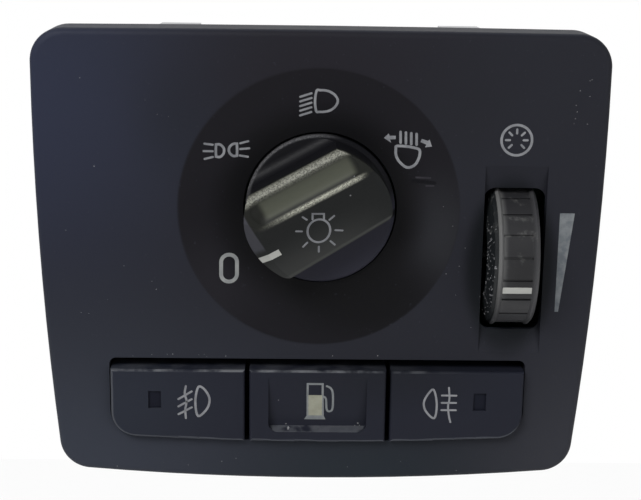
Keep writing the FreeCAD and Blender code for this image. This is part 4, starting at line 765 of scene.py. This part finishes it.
def wheel_flank():
    """Turn the flank's outline about the wheel's axle."""
    count = FLANK_SIDES
    vertices, faces = [], []
    rings = [(WHEEL_SIDE_X - reach, radius) for reach, radius in FLANK]
    rings += [(WHEEL_SIDE_X + FLANK_SUNK, FLANK[-1][1]), (WHEEL_SIDE_X + FLANK_SUNK, FLANK[0][1])]
    for x, radius in rings:
        for step in range(count):
            turn = 2 * math.pi * step / count
            vertices.append((x, WHEEL_Y + radius * math.cos(turn), WHEEL_Z + radius * math.sin(turn)))
    for ring in range(len(rings)):
        follow = (ring + 1) % len(rings)
        for step in range(count):
            after = (step + 1) % count
            faces.append([ring * count + step, ring * count + after, follow * count + after,
                          follow * count + step])
    new_piece("wheel_flank", vertices, faces, "wheel_plastic", "dimmer_body")


def flank_dust():
    """Crumbs on the flank, thickest in front of the axle."""
    vertices, faces = [], []
    for index in range(FLANK_CRUMBS):
        radius = random.uniform(*FLANK_CRUMB_REACH)
        turn = math.radians(random.gauss(FLANK_FRONT, FLANK_SPREAD))
        depth = WHEEL_Y + radius * math.cos(turn)
        height = WHEEL_Z + radius * math.sin(turn)
        outline = speck(random.uniform(*FLANK_CRUMB_SIZES))
        base = len(vertices)
        size = len(outline)
        for lift in (PRINT_THICKNESS * 2, -PRINT_THICKNESS):
            for dy, dz in outline:
                reach = flank_reach(math.hypot(depth + dy - WHEEL_Y, height + dz - WHEEL_Z))
                vertices.append((WHEEL_SIDE_X - reach - lift, depth + dy, height + dz))
        faces += slab_faces(base, size, turned=True)
    new_piece("wheel_dust", vertices, faces, "dust", "dimmer_body")


wheel_flank()
flank_dust()


# Stage, lights and camera
def plane(name, corners, material):
    """One flat sheet of the stage."""
    mesh = bpy.data.meshes.new(name)
    mesh.from_pydata([Vector(c) * MM for c in corners], [], [list(range(len(corners)))])
    piece = bpy.data.objects.new(name, mesh)
    bpy.context.scene.collection.objects.link(piece)
    mesh.materials.append(material)


def stage_material(name, whiteness):
    """Pale paper that the camera and mirrored rays see as white, by the share given."""
    material = bpy.data.materials.new(name)
    material.use_nodes = True
    nodes, links = material.node_tree.nodes, material.node_tree.links
    shader = nodes["Principled BSDF"]
    shader.inputs["Base Color"].default_value = (PAPER_TONE, PAPER_TONE, PAPER_TONE, 1.0)
    shader.inputs["Roughness"].default_value = 0.9
    shader.inputs["Specular IOR Level"].default_value = 0.1
    rays = nodes.new("ShaderNodeLightPath")
    seen = rays.outputs["Is Camera Ray"]
    for kind in ("Is Glossy Ray", "Is Transmission Ray"):
        either = nodes.new("ShaderNodeMath")
        either.operation = "MAXIMUM"
        links.new(seen, either.inputs[0])
        links.new(rays.outputs[kind], either.inputs[1])
        seen = either.outputs["Value"]
    share = nodes.new("ShaderNodeMath")
    share.operation = "MULTIPLY"
    share.inputs[1].default_value = whiteness
    links.new(seen, share.inputs[0])
    white = nodes.new("ShaderNodeEmission")
    mix = nodes.new("ShaderNodeMixShader")
    links.new(share.outputs["Value"], mix.inputs["Fac"])
    links.new(shader.outputs["BSDF"], mix.inputs[1])
    links.new(white.outputs["Emission"], mix.inputs[2])
    links.new(mix.outputs["Shader"], nodes["Material Output"].inputs["Surface"])
    return material


def area_light(name, place, target, size, power):
    """Rectangular lamp turned towards its target."""
    light = bpy.data.lights.new(name, "AREA")
    light.energy = power
    light.shape = "RECTANGLE"
    light.size, light.size_y = (side * MM for side in size)
    lamp = bpy.data.objects.new(name, light)
    lamp.location = Vector(place) * MM
    lamp.rotation_euler = (Vector(target) - Vector(place)).to_track_quat("-Z", "Y").to_euler()
    bpy.context.scene.collection.objects.link(lamp)


plane("floor", [(-STAGE, -STAGE, FLOOR_Z), (STAGE, -STAGE, FLOOR_Z),
                (STAGE, STAGE, FLOOR_Z), (-STAGE, STAGE, FLOOR_Z)],
      stage_material("floor_paper", 0.95))
plane("backdrop", [(-STAGE, BACKDROP_Y, FLOOR_Z), (STAGE, BACKDROP_Y, FLOOR_Z),
                   (STAGE, BACKDROP_Y, STAGE), (-STAGE, BACKDROP_Y, STAGE)],
      stage_material("backdrop_paper", 1.0))

area_light("key", KEY_PLACE, KEY_TARGET, KEY_SIZE, KEY_POWER)
area_light("fill", FILL_PLACE, FILL_TARGET, FILL_SIZE, FILL_POWER)

world = bpy.data.worlds.new("world")
bpy.context.scene.world = world
world.use_nodes = True
sky = world.node_tree.nodes["Background"]
sky.inputs["Color"].default_value = SKY
sky.inputs["Strength"].default_value = SKY_STRENGTH

yaw, rise, roll = (math.radians(a) for a in (CAMERA_YAW, CAMERA_RISE, CAMERA_ROLL))
aim = Vector((AIM_X, PANEL_FRONT, AIM_Z))
back = Vector((math.sin(yaw) * math.cos(rise), -math.cos(yaw) * math.cos(rise), math.sin(rise)))
right = Vector((0, 0, 1)).cross(back).normalized()
up = back.cross(right)
rolled_right = right * math.cos(roll) + up * math.sin(roll)
rolled_up = up * math.cos(roll) - right * math.sin(roll)
camera_data = bpy.data.cameras.new("camera")
camera_data.sensor_width = SENSOR
camera_data.lens = PHOTO_SCALE * CAMERA_DISTANCE * SENSOR / IMAGE_WIDTH
camera_data.clip_start = 0.01
camera = bpy.data.objects.new("camera", camera_data)
bpy.context.scene.collection.objects.link(camera)
turned = Matrix((rolled_right, rolled_up, back)).transposed().to_4x4()
camera.matrix_world = Matrix.Translation((aim + back * CAMERA_DISTANCE) * MM) @ turned
bpy.context.scene.camera = camera
bpy.context.scene.view_settings.view_transform = "Standard"
